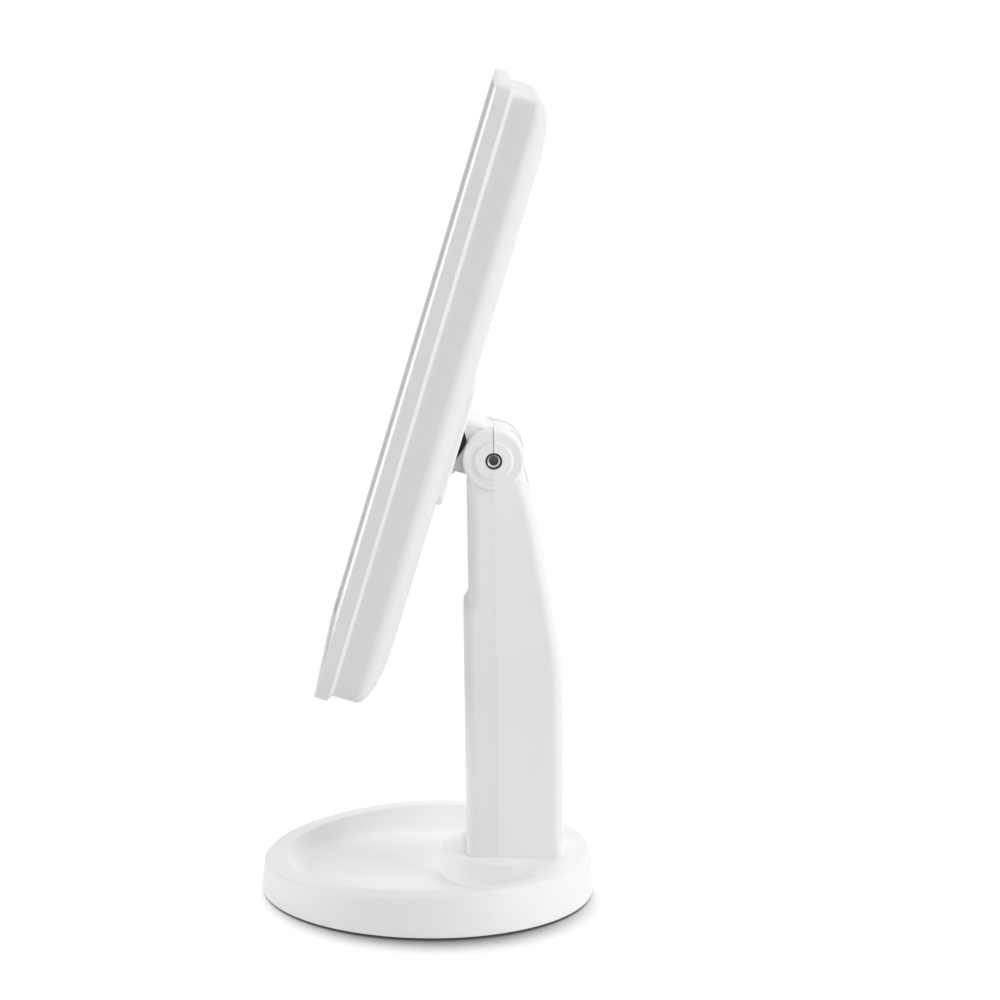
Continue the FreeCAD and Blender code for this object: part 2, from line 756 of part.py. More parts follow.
def build_column_room():
    """The room inside the column for the cells and the lead."""
    body = new_body("column_room")
    front_high = "-(front_upper - column_wall)"
    front_low = "-(front_lower - column_wall)"
    rear_low = "rear_lower - column_wall"
    floor = "-(column_bottom - column_floor)"
    corners = ((front_high, "-room_top"), (front_high, "-step_bottom"),
               (front_low, "-step_bottom - column_wall"), (front_low, floor), (rear_low, floor),
               (rear_low, "-taper_bottom"), ("rear_middle - column_wall", "-room_top"))
    profile = outline(body, "room_outline", "YZ_Plane", corners)
    pad(body, "room_block", profile, "2 * (column_half_width - side_wall)", True)
    return body


def column_screw_spots():
    """Where the column screws stand, at both sides below the hinge."""
    return [(f"{side}column_screw_spread", "0", "-column_screw_drop") for side in SIDES]


def build_column_hollow(outside):
    """The column with its room, hinge slot, pivot bores, screw bosses and screw holes."""
    slot = block("hinge_slot", both_ways("slot_half_width"), both_ways(COLUMN_REACH),
                 ("-slot_bottom", "ear_radius + overrun"))
    past_boss = f"{BOSS_FACE} + overrun"
    bore = cylinder("pivot_bore", "pivot_radius + pivot_gap", *both_ways(past_boss), "x")
    right_recess = cylinder("right_recess", "pivot_recess_radius", RECESS_FLOOR, past_boss, "x")
    left_recess = cylinder("left_recess", "pivot_recess_radius", f"-({past_boss})", f"-({RECESS_FLOOR})", "x")
    channel = cylinder("lead_channel", "lead_room", "-(room_top + overrun)", "-(slot_bottom - overrun)")
    split = block("ear_split", both_ways(past_boss), both_ways("ear_split_gap / 2"),
                  ("0", "ear_radius + overrun"))
    room = build_column_room()
    hollow = cut("column_hollow", outside, room, slot, bore, right_recess, left_recess, channel, split)

    spots = column_screw_spots()
    bosses = each("column_boss", spots, lambda name, spot: cylinder(
        name, "column_boss_radius", "-(front_upper - column_wall / 2)", "column_screw_seat + overrun",
        "y", spot))
    sleeves = each("column_sleeve", spots, lambda name, spot: cylinder(
        name, "column_boss_radius + column_wall / 2", "column_screw_seat", "rear_middle + column_wall / 2",
        "y", spot))
    framed = fuse("column_framed", hollow, *bosses, *sleeves)
    wells = each("column_well", spots, lambda name, spot: cylinder(
        name, "screw_head_radius + head_gap", "column_screw_seat", COLUMN_REACH, "y", spot))
    holes = each("column_hole", spots, lambda name, spot: cylinder(
        name, "screw_radius + thread_gap", "column_screw_seat - column_screw_length - thread_gap",
        "column_screw_seat + overrun", "y", spot))
    foot_holes = each("foot_pilot", foot_screw_spots(), lambda name, spot: cylinder(
        name, "screw_radius + thread_gap", "-(column_bottom + overrun)",
        f"{FOOT_SEAT} + foot_screw_length + thread_gap", "z", spot))
    return cut("column_drilled", framed, *wells, *holes, *foot_holes)


def build_column():
    """Front and rear shells, battery door and the screws that join the shells."""
    outside = build_column_outside()
    hollow = build_column_hollow(outside)
    height = ("-(column_bottom + overrun)", "ear_radius + overrun")
    width = both_ways(f"{BOSS_FACE} + overrun")
    front_half = block("front_half", width, (f"-({COLUMN_REACH})", "-seam_gap / 2"), height)
    rear_half = block("rear_half", width, ("seam_gap / 2", COLUMN_REACH), height)
    front_shell = common("column_front_shell", hollow, front_half)
    opening = block("door_opening", both_ways("door_half_width + door_gap"),
                    ("rear_lower - column_wall - overrun", COLUMN_REACH),
                    ("-(door_bottom + door_gap)", "-(door_top - door_gap)"))
    rear_shell = cut("column_rear_shell", common("rear_half_shell", hollow, rear_half), opening)
    leaf = block("door_leaf", both_ways("door_half_width"), ("rear_lower - door_thickness", COLUMN_REACH),
                 ("-door_bottom", "-door_top"))
    door = common("battery_door", outside, leaf)
    screws = group("column_screws", each("column_screw", column_screw_spots(), lambda name, spot: screw(
        name, "column_screw_seat", "column_screw_length", "y", spot, onward="-")))
    return [in_stand(item) for item in (front_shell, rear_shell, door, screws)]


def build_cell(name, spot, upward):
    """One cell standing in the column, its tip up or down."""
    low = f"-({CELL_FLOOR}) + cell_gap"
    high = f"{low} + cell_length + cell_tip_height"
    ends = (low, f"{high} - cell_tip_height") if upward else (f"{low} + cell_tip_height", high)
    can = cylinder(f"{name}_can", "cell_radius", *ends, at=spot)
    tip = cylinder(f"{name}_tip", "cell_tip_radius", low, high, at=spot)
    return fuse(name, can, tip)


def build_power():
    """Cells, contact holders, contact strips and the lead up to the hinge."""
    pitch = "2 * cell_radius + cell_gap"
    columns = [f"{side}({pitch}) / 2" for side in SIDES]
    rows = ("-cell_front", f"-cell_front + {pitch}")
    spots = [(across, along, "0") for across in columns for along in rows]
    cells = [build_cell(f"cell_{number}", spot, number % 2) for number, spot in enumerate(spots, start=1)]

    low = "-(column_bottom - column_floor)"
    high = f"-({CELL_FLOOR}) + 2 * cell_gap + cell_length + cell_tip_height + strip_thickness"
    across = both_ways("column_half_width - side_wall - rest_gap")
    along = ("-(front_lower - column_wall - rest_gap)", "holder_reach")
    holders = each("contact_holder", (low, high), lambda name, level: block(
        name, across, along, (level, f"{level} + holder_thickness")))
    half = "strip_width / 2"
    levels = (f"{low} + holder_thickness", f"{high} - strip_thickness")
    strip_along = (f"-cell_front - {half}", f"{rows[1]} + {half}")
    strips = each("contact_strip", [(spot, level) for spot in columns for level in levels],
                  lambda name, at: block(name, (f"{at[0]} - {half}", f"{at[0]} + {half}"), strip_along,
                                         (at[1], f"{at[1]} + strip_thickness")))
    wire = cylinder("column_wire", "lead_radius", f"{high} + holder_thickness", "-lead_end")
    nodes = {"battery_cells": cells, "contact_holders": holders, "contact_strips": strips,
             "column_lead": [wire]}
    return [in_stand(group(name, items)) for name, items in nodes.items()]


def build_pivots():
    """The two pivot screws and the friction washers beside the barrel."""
    face = f"{RECESS_FLOOR} + pivot_head_height"
    head = cylinder("pivot_head", "pivot_head_radius", RECESS_FLOOR, face, "x")
    shank = cylinder("pivot_shank", "pivot_radius", "pivot_end", face, "x")
    key = doc.addObject("Part::Prism", "pivot_key")
    key.Polygon = HEX_SIDES
    key.Placement = FreeCAD.Placement(ORIGIN, TURNS["x"])
    bind(key, {"Circumradius": "pivot_key_radius", "Height": "pivot_key_depth + overrun",
               "Placement.Base.x": f"{face} - pivot_key_depth"})
    right_screw = cut("right_pivot_screw", fuse("pivot_stud", head, shank), key)
    left_screw = mirrored("left_pivot_screw", right_screw)
    middle = "(slot_half_width + barrel_half_length) / 2"
    ends = (f"{middle} - washer_thickness / 2", f"{middle} + washer_thickness / 2")
    disc = cylinder("washer_disc", "washer_radius", *ends, "x")
    right_washer = cut("right_washer", disc, cylinder("washer_hole", "washer_bore", *ends, "x"))
    left_washer = mirrored("left_washer", right_washer)
    screws = group("pivot_screws", [right_screw, left_screw])
    washers = group("friction_washers", [right_washer, left_washer])
    return [in_stand(screws), in_stand(washers)]


# Head
def head_panel(body, name, inset, corner, depth):
    """The head's outline brought in all round, drawn at a depth in front of the hinge axis."""
    return panel(body, name, "XZ_Plane", f"head_half_width - ({inset})", f"head_half_length - ({inset})",
                 corner, rise="head_rise", lift=depth)


def bracket_screw_spots():
    """Where the bracket screws stand, near the corners of the hinge plate."""
    return [(f"{side}bracket_screw_spread", f"plate_rise {level} bracket_screw_reach")
            for side in SIDES for level in ("+", "-")]


def build_bracket():
    """Hinge bracket: plate on the head's back, open-sided neck and the barrel between the ears."""
    body = new_body("hinge_bracket")

    # The neck's arch over the side window comes first, so that its upper edges can be rounded alone
    width = "2 * barrel_half_length"
    root = f"-({PLATE_BACK} + overrun)"
    point = ("-window_point_reach", "window_point_rise")
    inside_barrel = ("overrun - barrel_radius", "0")
    arch_start = ("0", "barrel_radius - overrun")
    corners = (arch_start, (root, "neck_top"), (root, "window_top"), point, inside_barrel, ("0", "0"))
    pad(body, "neck_arch", outline(body, "arch_outline", "YZ_Plane", corners), width, True)
    side, end, low = value("barrel_half_length"), value(root), value(arch_start[1])
    round_edges(body, "neck_edges", "neck_rounding",
                lambda at, edge: near(abs(at.x), side) and at.z > low and not near(at.y, end))
    pad(body, "barrel", rings(body, "barrel_circle", "YZ_Plane", "barrel_radius"), width, True)
    plate = panel(body, "plate_outline", "XZ_Plane", "plate_half_width", "plate_half_length",
                  "plate_corner", rise="plate_rise", lift=PLATE_BACK)
    pad(body, "plate", plate, "plate_thickness")
    rear = -value(PLATE_BACK)
    on_border = border_test("plate_half_width", "plate_half_length", "plate_rise")
    round_edges(body, "plate_edge", "plate_rounding", lambda at, edge: near(at.y, rear) and on_border(at))

    # A gusset closes the neck below the window, and a narrower web joins it to the barrel
    corners = (point, (root, "-window_bottom"), (root, "-gusset_drop"), ("-web_reach", "-neck_bottom"),
               inside_barrel)
    pad(body, "neck_gusset", outline(body, "gusset_outline", "YZ_Plane", corners), width, True)
    corners = (("0", "-neck_bottom"), ("-web_reach", "-neck_bottom"), inside_barrel, ("0", "0"))
    pad(body, "neck_web", outline(body, "web_outline", "YZ_Plane", corners), "2 * web_half_width", True)

    # The bores, and a slot that keeps the barrel clear of the column's lead at every tilt
    bore = rings(body, "bore_circle", "YZ_Plane", "barrel_bore")
    pocket(body, "barrel_bore_room", bore, "2 * barrel_bore_half_length", True)
    hole = rings(body, "pivot_circle", "YZ_Plane", "pivot_radius + pivot_gap")
    pocket(body, "pivot_hole", hole, "2 * (barrel_half_length + overrun)", True)
    far = "(barrel_radius + overrun)"
    start = "lead_room / sin(lead_swing)"
    corners = (("-lead_room", f"-{far}"), (far, f"-{far}"), (far, far),
               (f"{far} / tan(lead_swing) - {start}", far), (f"-{start}", "0"))
    pocket(body, "lead_slot", outline(body, "slot_outline", "YZ_Plane", corners), "2 * lead_room", True)
    lead_way = rings(body, "lead_circle", "XZ_Plane", "lead_room")
    pocket(body, "lead_way", lead_way, "2 * (back_depth + overrun)", True)
    pilots = rings(body, "pilot_circles", "XZ_Plane", "screw_radius + thread_gap", bracket_screw_spots(),
                   lift="back_depth")
    pocket(body, "screw_pilots", pilots, "bracket_screw_length - shell_wall + thread_gap")
    return in_head(body)


def build_grommet():
    """The dark insert that fills the open side of the neck and holds the lead."""
    body = new_body("lead_grommet")
    root = f"-({PLATE_BACK})"
    reach = f"({PLATE_BACK} - window_point_reach) / ({PLATE_BACK} + overrun - window_point_reach)"
    corners = ((root, f"window_point_rise + (window_top - window_point_rise) * {reach}"),
               ("-window_point_reach", "window_point_rise"),
               (root, f"window_point_rise - (window_bottom + window_point_rise) * {reach}"))
    profile = outline(body, "grommet_outline", "YZ_Plane", corners)
    pad(body, "grommet_block", profile, "2 * grommet_half_length", True)
    hole = rings(body, "grommet_circle", "XZ_Plane", "lead_room")
    pocket(body, "grommet_hole", hole, "2 * (back_depth + overrun)", True)
    return in_head(body)


def build_head_lead():
    """The lead from the hinge through the neck, down inside the head to the touch board."""
    body = new_body("head_lead")
    path = new_sketch(body, "lead_path", "YZ_Plane")
    bend, depth, start = value("lead_bend"), value("lead_depth"), value("lead_end")
    foot, board = value(TOUCH_HEIGHT), value(BOARD_BACK)
    quarter = math.radians(RIGHT_ANGLE)

    def spot(along, up):
        return FreeCAD.Vector(along, up, 0)

    upper_circle = Part.Circle(spot(bend - depth, -bend), ALONG_Z, bend)
    lower_circle = Part.Circle(spot(-depth - bend, foot + bend), ALONG_Z, bend)
    path.addGeometry(Part.LineSegment(spot(-start, 0), spot(bend - depth, 0)))
    path.addGeometry(Part.ArcOfCircle(upper_circle, quarter, 2 * quarter))
    path.addGeometry(Part.LineSegment(spot(-depth, -bend), spot(-depth, foot + bend)))
    path.addGeometry(Part.ArcOfCircle(lower_circle, -quarter, 0))
    path.addGeometry(Part.LineSegment(spot(-depth - bend, foot), spot(-board, foot)))
    for join in ((0, 2, 1, 1), (1, 2, 2, 1), (2, 2, 3, 2), (3, 1, 4, 1)):
        path.addConstraint(Sketcher.Constraint("Tangent", *join))
    for index in (1, 3):
        hold(path, "Radius", index, size="lead_bend")
    pin(path, 0, 1, ("-lead_end", "0"))
    for index, way in ((0, "Horizontal"), (2, "Vertical"), (4, "Horizontal")):
        path.addConstraint(Sketcher.Constraint(way, index))
    hold(path, "DistanceX", -1, 1, 2, 1, size="-lead_depth")
    pin(path, 4, 2, (f"-({BOARD_BACK})", TOUCH_HEIGHT))
    section = rings(body, "lead_section", "XZ_Plane", "lead_radius", lift="lead_end")
    lead = feature(body, "AdditivePipe", "lead", section, {})
    lead.Spine = (path, [f"Edge{number}" for number in range(1, len(path.Geometry) + 1)])
    return in_head(body)


def build_frame():
    """Front frame: rounded band, sloped ledge to the rear shell, lip and shelf for the glass."""
    body = new_body("front_frame")
    rim = head_panel(body, "frame_outline", "0", "head_corner", SHELL_FRONT)
    pad(body, "frame_block", rim, "frame_depth")
    mouth = head_panel(body, "mouth_outline", "lip_width", "head_corner - lip_width", "front_depth")
    pocket(body, "frame_mouth", mouth, "glass_recess + glass_thickness")
    inner = head_panel(body, "inner_outline", "shelf_reach", "shelf_corner", "front_depth")
    pocket(body, "frame_opening", inner, "frame_depth + overrun")
    rear, front = -value(SHELL_FRONT), -value("front_depth")
    on_border = border_test("head_half_width", "head_half_length", "head_rise")
    base = pick_edges(body, lambda at, edge: near(at.y, rear) and on_border(at))
    ledge = body.newObject("PartDesign::Chamfer", "frame_ledge")
    ledge.Base = base
    ledge.ChamferType = "Two distances"
    bind(ledge, {"Size": "ledge_height", "Size2": "ledge_width"})
    round_edges(body, "frame_front_edge", "frame_rounding",
                lambda at, edge: near(at.y, front) and on_border(at))
    return in_head(body)


def window_box(side, gap, over):
    """The box of one light window in the carrier, with a gap round it and an overrun through it."""
    middle = f"{side}({WINDOW_MIDDLE})"
    across = (f"{middle} - window_half_width - {gap}", f"{middle} + window_half_width + {gap}")
    along = (f"-({SEAT_DEPTH}) - {over}", f"-({CARRIER_BACK}) + {over}")
    up = (f"head_rise - window_half_length - {gap}", f"head_rise + window_half_length + {gap}")
    return across, along, up


def build_glass():
    """Mirror glass, the gasket round it and the carrier plate behind it."""
    gasket = new_body("mirror_gasket")
    glass_inset = "lip_width + gasket_width"
    glass_corner = f"head_corner - ({glass_inset})"
    ring = head_panel(gasket, "gasket_outline", "lip_width", "head_corner - lip_width", SEAT_DEPTH)
    pad(gasket, "gasket_block", ring, "glass_recess + glass_thickness - gasket_recess")
    hole = head_panel(gasket, "gasket_mouth", glass_inset, glass_corner, "front_depth")
    pocket(gasket, "gasket_opening", hole, "glass_recess + glass_thickness + overrun")
    glass = new_body("mirror_glass")
    pane = head_panel(glass, "glass_outline", glass_inset, glass_corner, SEAT_DEPTH)
    pad(glass, "glass_pane", pane, "glass_thickness")
    plate = new_body("carrier_blank")
    edge = head_panel(plate, "carrier_outline", "shelf_reach + fit_gap", "shelf_corner", CARRIER_BACK)
    pad(plate, "carrier_plate", edge, "carrier_thickness")
    windows = each("carrier_window", SIDES, lambda name, side: block(
        name, *window_box(side, "fit_gap", "overrun")))
    sensor_hole = cylinder("sensor_hole", "sensor_radius + fit_gap", f"-({SEAT_DEPTH} + overrun)",
                           f"-({CARRIER_BACK} - overrun)", "y", ("0", "0", TOUCH_HEIGHT))
    carrier = cut("mirror_carrier", plate, *windows, sensor_hole)
    return [in_head(item) for item in (gasket, glass, carrier)]


def build_lights():
    """Diffusers, LED boards and chips, touch board with its sensor, and the leads between the boards."""
    diffusers, boards, chips, leads = [], [], [], []
    board_layer = (f"-({BOARD_FRONT})", f"-({BOARD_BACK})")
    chip_layer = (f"-({BOARD_FRONT} + chip_height)", f"-({BOARD_FRONT})")
    half = "chip_size / 2"
    for number, side in enumerate(SIDES, start=1):
        middle = f"{side}({WINDOW_MIDDLE})"
        diffusers.append(block(f"diffuser_{number}", *window_box(side, "0", "0")))
        across = (f"{middle} - board_half_width", f"{middle} + board_half_width")
        up = ("head_rise - board_half_length", "head_rise + board_half_length")
        boards.append(block(f"led_board_{number}", across, board_layer, up))
        across = (f"{middle} - {half}", f"{middle} + {half}")
        for place in range(CHIPS_PER_BOARD):
            level = f"head_rise + chip_pitch * {place - (CHIPS_PER_BOARD - 1) / 2}"
            chips.append(block(f"chip_{number}_{place}", across, chip_layer,
                               (f"{level} - {half}", f"{level} + {half}")))
        ends = sorted((f"{side}(touch_half_width - led_lead_overlap)", middle), key=value)
        leads.append(cylinder(f"led_lead_{number}", "led_lead_radius", *ends, "x",
                              ("0", f"led_lead_radius - ({BOARD_BACK})", TOUCH_HEIGHT)))
    touch = block("touch_plate", both_ways("touch_half_width"), board_layer,
                  (f"{TOUCH_HEIGHT} - touch_half_height", f"{TOUCH_HEIGHT} + touch_half_height"))
    sensor = cylinder("sensor_stub", "sensor_radius", f"-({SEAT_DEPTH})", f"-({BOARD_FRONT})", "y",
                      ("0", "0", TOUCH_HEIGHT))
    nodes = {"light_diffusers": diffusers, "led_boards": boards, "led_chips": chips, "led_leads": leads,
             "touch_board": [touch], "touch_sensor": [sensor]}
    return [in_head(group(name, items)) for name, items in nodes.items()]


def build_rear_shell():
    """Rear shell: straight sides, long elliptical rounding to a flat back, hollow inside."""
    body = new_body("rear_shell")
    sides = head_panel(body, "side_outline", "ledge_width", "shell_corner", ROUNDING_START)
    pad(body, "shell_sides", sides, f"{SHELL_FRONT} - ({ROUNDING_START})")
    sections = []
    for step in range(ROUNDING_STEPS + 1):
        angle = RIGHT_ANGLE * step / ROUNDING_STEPS
        inset = f"shell_rounding_length * (1 - cos({angle}))"
        depth = f"{ROUNDING_START} - shell_rounding_depth * sin({angle})"
        sections.append(head_panel(body, f"rounding_{step}", f"ledge_width + {inset}",
                                   f"shell_corner + {CORNER_GROWTH_SHARE} * {inset}", depth))
    back = feature(body, "AdditiveLoft", "shell_back", sections[0], {})
    back.Sections = sections[1:]

    room = head_panel(body, "room_outline", "ledge_width + shell_wall", "shell_corner - shell_wall",
                      SHELL_FRONT)
    pocket(body, "shell_room", room, f"{SHELL_FRONT} - ({ROUNDING_START}) - rest_gap")
    deep = head_panel(body, "deep_outline", "ledge_width + shell_rounding_length", "shell_corner",
                      SHELL_FRONT)
    pocket(body, "shell_deep_room", deep, f"{SHELL_FRONT} - back_depth - shell_wall")
    inside = "back_depth + shell_wall + overrun"
    lead_hole = rings(body, "lead_hole_circle", "XZ_Plane", "lead_room", lift=inside)
    pocket(body, "lead_hole", lead_hole, "shell_wall + 2 * overrun")
    holes = rings(body, "bracket_hole_circles", "XZ_Plane", "screw_radius + thread_gap",
                  bracket_screw_spots(), lift=inside)
    pocket(body, "bracket_holes", holes, "shell_wall + 2 * overrun")
    return in_head(body)


def build_bracket_screws():
    """The screws that hold the hinge bracket from inside the rear shell."""
    spots = [(across, "0", up) for across, up in bracket_screw_spots()]
    return in_head(group("bracket_screws", each("bracket_screw", spots, lambda name, spot: screw(
        name, "-(back_depth + shell_wall)", "bracket_screw_length", "y", spot))))


pieces = [*build_base(), *build_column(), *build_power(), *build_pivots(), build_bracket(), build_grommet(),
          build_head_lead(), build_frame(), *build_glass(), *build_lights(), build_rear_shell(),
          build_bracket_screws()]
doc.recompute()

for item in doc.Objects:
    if "Invalid" in item.State or "Error" in item.State:
        raise RuntimeError(f"{item.Name} did not build")

os.makedirs("parts", exist_ok=True)
for piece in pieces:
    piece.Label = piece.Name
    if piece.Shape.isNull() or not piece.Shape.isValid() or not piece.Shape.Solids:
        raise RuntimeError(f"{piece.Label} has no valid shape")
    piece.Shape.exportStep(f"parts/{piece.Label}.step")
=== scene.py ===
"""Lighted tabletop mirror: finishes, fine details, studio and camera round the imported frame.

World frame, in metres: Z up from the table, the mirror faces -Y, the hinge axis runs along X.
Sizes in the classes are in millimetres, as on a maker's drawing, and MM turns them to metres.
"""
import json
import logging
import math
from dataclasses import dataclass
from enum import Enum
from typing import Any, Iterable, Sequence

import bmesh
import bpy
from mathutils import Matrix, Vector


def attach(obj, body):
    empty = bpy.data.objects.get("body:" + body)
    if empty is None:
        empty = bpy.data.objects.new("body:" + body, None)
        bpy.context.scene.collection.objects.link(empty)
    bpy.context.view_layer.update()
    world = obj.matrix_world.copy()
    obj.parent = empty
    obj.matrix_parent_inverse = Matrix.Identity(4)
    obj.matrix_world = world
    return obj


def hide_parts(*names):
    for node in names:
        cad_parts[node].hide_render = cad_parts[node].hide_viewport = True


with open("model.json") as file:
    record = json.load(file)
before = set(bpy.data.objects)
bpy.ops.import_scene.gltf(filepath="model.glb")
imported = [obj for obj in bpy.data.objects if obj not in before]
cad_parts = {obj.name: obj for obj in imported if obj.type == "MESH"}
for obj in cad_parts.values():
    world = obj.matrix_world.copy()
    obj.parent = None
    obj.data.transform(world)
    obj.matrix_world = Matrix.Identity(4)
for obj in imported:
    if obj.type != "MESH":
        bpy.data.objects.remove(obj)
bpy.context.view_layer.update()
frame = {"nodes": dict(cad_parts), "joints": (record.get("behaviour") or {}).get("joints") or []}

LOG = logging.getLogger("tabletop_mirror")
MM = 0.001
SHARP_ANGLE = math.radians(35)
QUARTER_TURN = math.radians(90)
SIDES = (1, -1)
WHITE = (1.0, 1.0, 1.0, 1.0)
# Points nearer than these, in millimetres, become one
PIECE_MERGE = 0.0005
LATHE_MERGE = 0.001
# A face whose normal is this near to an axis lies flat across it
FLAT_ACROSS = 0.99
# Most of a noise texture's values lie between these
NOISE_LOW = 0.3
NOISE_HIGH = 0.7
FINE_DETAIL = 2.0
DRIFT_DETAIL = 3.0
# Roughness changes over half the distance that colour does
DRIFTS_PER_CLOUD = 2

Tree = bpy.types.NodeTree
Node = bpy.types.Node
Socket = bpy.types.NodeSocket
Shape = bmesh.types.BMesh


class Body(Enum):
    """The moving bodies that carry new pieces."""

    STAND = "stand"
    HEAD = "head"


class Slot(Enum):
    """The record's material slots that new pieces take their finish from."""

    SCREW_STEEL = "screw_steel"
    CELL_CAN = "cell_can"
    MIRROR_GLASS = "mirror_glass"
    DIFFUSER = "diffuser_plastic"
    WASHER_NYLON = "washer_nylon"
    WHITE_PLASTIC = "white_plastic"


# Materials
def linear(code: str) -> tuple[float, float, float, float]:
    """Turn an sRGB hex colour to linear values.

    Args:
        code: Six hex digits, as in "F4F4F4".

    Returns:
        Linear red, green and blue, and an alpha of one.
    """
    parts = [int(code[place:place + 2], 16) / 255 for place in (0, 2, 4)]
    # The sRGB curve: a straight foot and a power above it
    red, green, blue = (part / 12.92 if part <= 0.04045 else ((part + 0.055) / 1.055) ** 2.4
                        for part in parts)
    return red, green, blue, 1.0


def add_node(tree: Tree, kind: str, settings: dict[str, Any] | None = None, **inputs: Any) -> Node:
    """Add a node with its settings, socket values and links.

    Args:
        tree: Node tree that takes the node.
        kind: Type name of the node.
        settings: Properties of the node itself.
        **inputs: Socket values by name, with _ for a space, or by _ and the socket's index;
            another node's output socket makes a link.

    Returns:
        The new node.
    """
    node = tree.nodes.new(kind)
    for name, choice in (settings or {}).items():
        setattr(node, name, choice)
    for name, content in inputs.items():
        socket = node.inputs[int(name[1:]) if name[1:].isdigit() else name.replace("_", " ")]
        if isinstance(content, Socket):
            tree.links.new(content, socket)
        else:
            socket.default_value = content
    return node


@dataclass(frozen=True)
class Finish:
    """A procedural material: what the thing is made of and how its surface was made.

    Colour clouds and roughness drift slowly over the surface, and a fine relief catches the light.
    A mould's real grain is about a tenth of a millimetre, too fine to show, so it is drawn coarser.
    """

    name: str
    colour: str
    shade: str
    roughness: tuple[float, float]
    ior: float = 1.5
    metallic: float = 0.0
    cloud_mm: float = 18.0
    grain_mm: float = 0.8
    relief_mm: float = 0.004

    def material(self) -> bpy.types.Material:
        """Return the material, making it the first time."""
        return bpy.data.materials.get(self.name) or self.make()

    def make(self) -> bpy.types.Material:
        """Build the node tree.

        Returns:
            The new material.
        """
        material = bpy.data.materials.new(self.name)
        material.use_nodes = True
        tree = material.node_tree
        shader = tree.nodes["Principled BSDF"]
        shader.inputs["IOR"].default_value = self.ior
        shader.inputs["Metallic"].default_value = self.metallic
        place = add_node(tree, "ShaderNodeTexCoord").outputs["Object"]
        self.colouring(tree, shader, place)
        self.polish(tree, shader, place)
        self.relief(tree, shader, place)
        return material

    def colouring(self, tree: Tree, shader: Node, place: Socket) -> None:
        """Let the colour drift a little between its two tones.

        Args:
            tree: Node tree of the material.
            shader: Shader that takes the colour.
            place: Coordinates on the object.
        """
        cloud = add_node(tree, "ShaderNodeTexNoise", Vector=place, Scale=1 / (self.cloud_mm * MM),
                         Detail=FINE_DETAIL)
        mix = add_node(tree, "ShaderNodeMix", {"data_type": "RGBA"}, _0=cloud.outputs["Fac"],
                       _6=linear(self.colour), _7=linear(self.shade))
        tree.links.new(mix.outputs[2], shader.inputs["Base Color"])

    def polish(self, tree: Tree, shader: Node, place: Socket) -> None:
        """Let the roughness drift between its two limits.

        Args:
            tree: Node tree of the material.
            shader: Shader that takes the roughness.
            place: Coordinates on the object.
        """
        drift = add_node(tree, "ShaderNodeTexNoise", Vector=place,
                         Scale=DRIFTS_PER_CLOUD / (self.cloud_mm * MM), Detail=DRIFT_DETAIL)
        span = add_node(tree, "ShaderNodeMapRange", Value=drift.outputs["Fac"], From_Min=NOISE_LOW,
                        From_Max=NOISE_HIGH, To_Min=self.roughness[0], To_Max=self.roughness[1])
        tree.links.new(span.outputs["Result"], shader.inputs["Roughness"])

    def relief(self, tree: Tree, shader: Node, place: Socket) -> None:
        """Raise the surface by its fine pattern."""
        bump = add_node(tree, "ShaderNodeBump", Height=self.pattern(tree, place),
                        Distance=self.relief_mm * MM)
        tree.links.new(bump.outputs["Normal"], shader.inputs["Normal"])

    def pattern(self, tree: Tree, place: Socket) -> Socket:
        """The height of the grain that the mould or the process leaves."""
        return add_node(tree, "ShaderNodeTexNoise", Vector=place, Scale=1 / (self.grain_mm * MM),
                        Detail=FINE_DETAIL).outputs["Fac"]


@dataclass(frozen=True)
class Foam(Finish):
    """Foam rubber: small round cells dent the cut surface; they are drawn large enough to show."""

    cell_mm: float = 0.9

    def pattern(self, tree: Tree, place: Socket) -> Socket:
        """The height of the round cells."""
        return add_node(tree, "ShaderNodeTexVoronoi", Vector=place,
                        Scale=1 / (self.cell_mm * MM)).outputs["Distance"]


@dataclass(frozen=True)
class Drawn(Finish):
    """Metal or plastic that was drawn, brushed or turned, with fine lines along one axis.

    Real lines are a few hundredths of a millimetre apart; they are drawn coarse enough to show.
    """

    line_mm: float = 0.25
    stretch: tuple[float, float, float] = (1.0, 1.0, 0.05)

    def pattern(self, tree: Tree, place: Socket) -> Socket:
        """The height of the lines, a grain that is stretched along them."""
        along = add_node(tree, "ShaderNodeMapping", Vector=place, Scale=self.stretch)
        return add_node(tree, "ShaderNodeTexNoise", Vector=along.outputs["Vector"],
                        Scale=1 / (self.line_mm * MM), Detail=FINE_DETAIL).outputs["Fac"]


# White ABS from a fine-polished mould: an even satin white, soft highlights and no visible grain
WHITE_ABS = Finish("abs_satin_moulded_white", "F6F6F5", "F3F3F2", (0.50, 0.58), ior=1.53)
# The head's white is a shade greyer than the stand's
HEAD_ABS = Finish("abs_satin_moulded_head", "EBEBEA", "E7E7E6", (0.50, 0.58), ior=1.53)
# Painted shade: the column front is a shade greyer than the half behind it, for the soft step in
# light at the seam
FRONT_ABS_PAINTED_SHADE = Finish("abs_satin_front_painted_shade", "F1F1F0", "EEEEED", (0.52, 0.60), ior=1.53)
# Textured ABS under the base: an off-white that scatters the light
COVER_ABS = Finish("abs_textured_moulded_cover", "E9E9E7", "E0E0DE", (0.5, 0.6), ior=1.53,
                   relief_mm=0.02)
# Nylon stamped from sheet: milky white, slightly waxy
NYLON_SHEET = Drawn("nylon_stamped_sheet", "E8E8E5", "DFDFDC", (0.4, 0.5), ior=1.53,
                    stretch=(0.05, 1.0, 1.0))
# Plain ABS behind the glass: a dull off-white with the mould's marks
CARRIER_ABS = Finish("abs_moulded_carrier", "E3E3E1", "DADAD8", (0.45, 0.55), ior=1.53,
                     relief_mm=0.01)
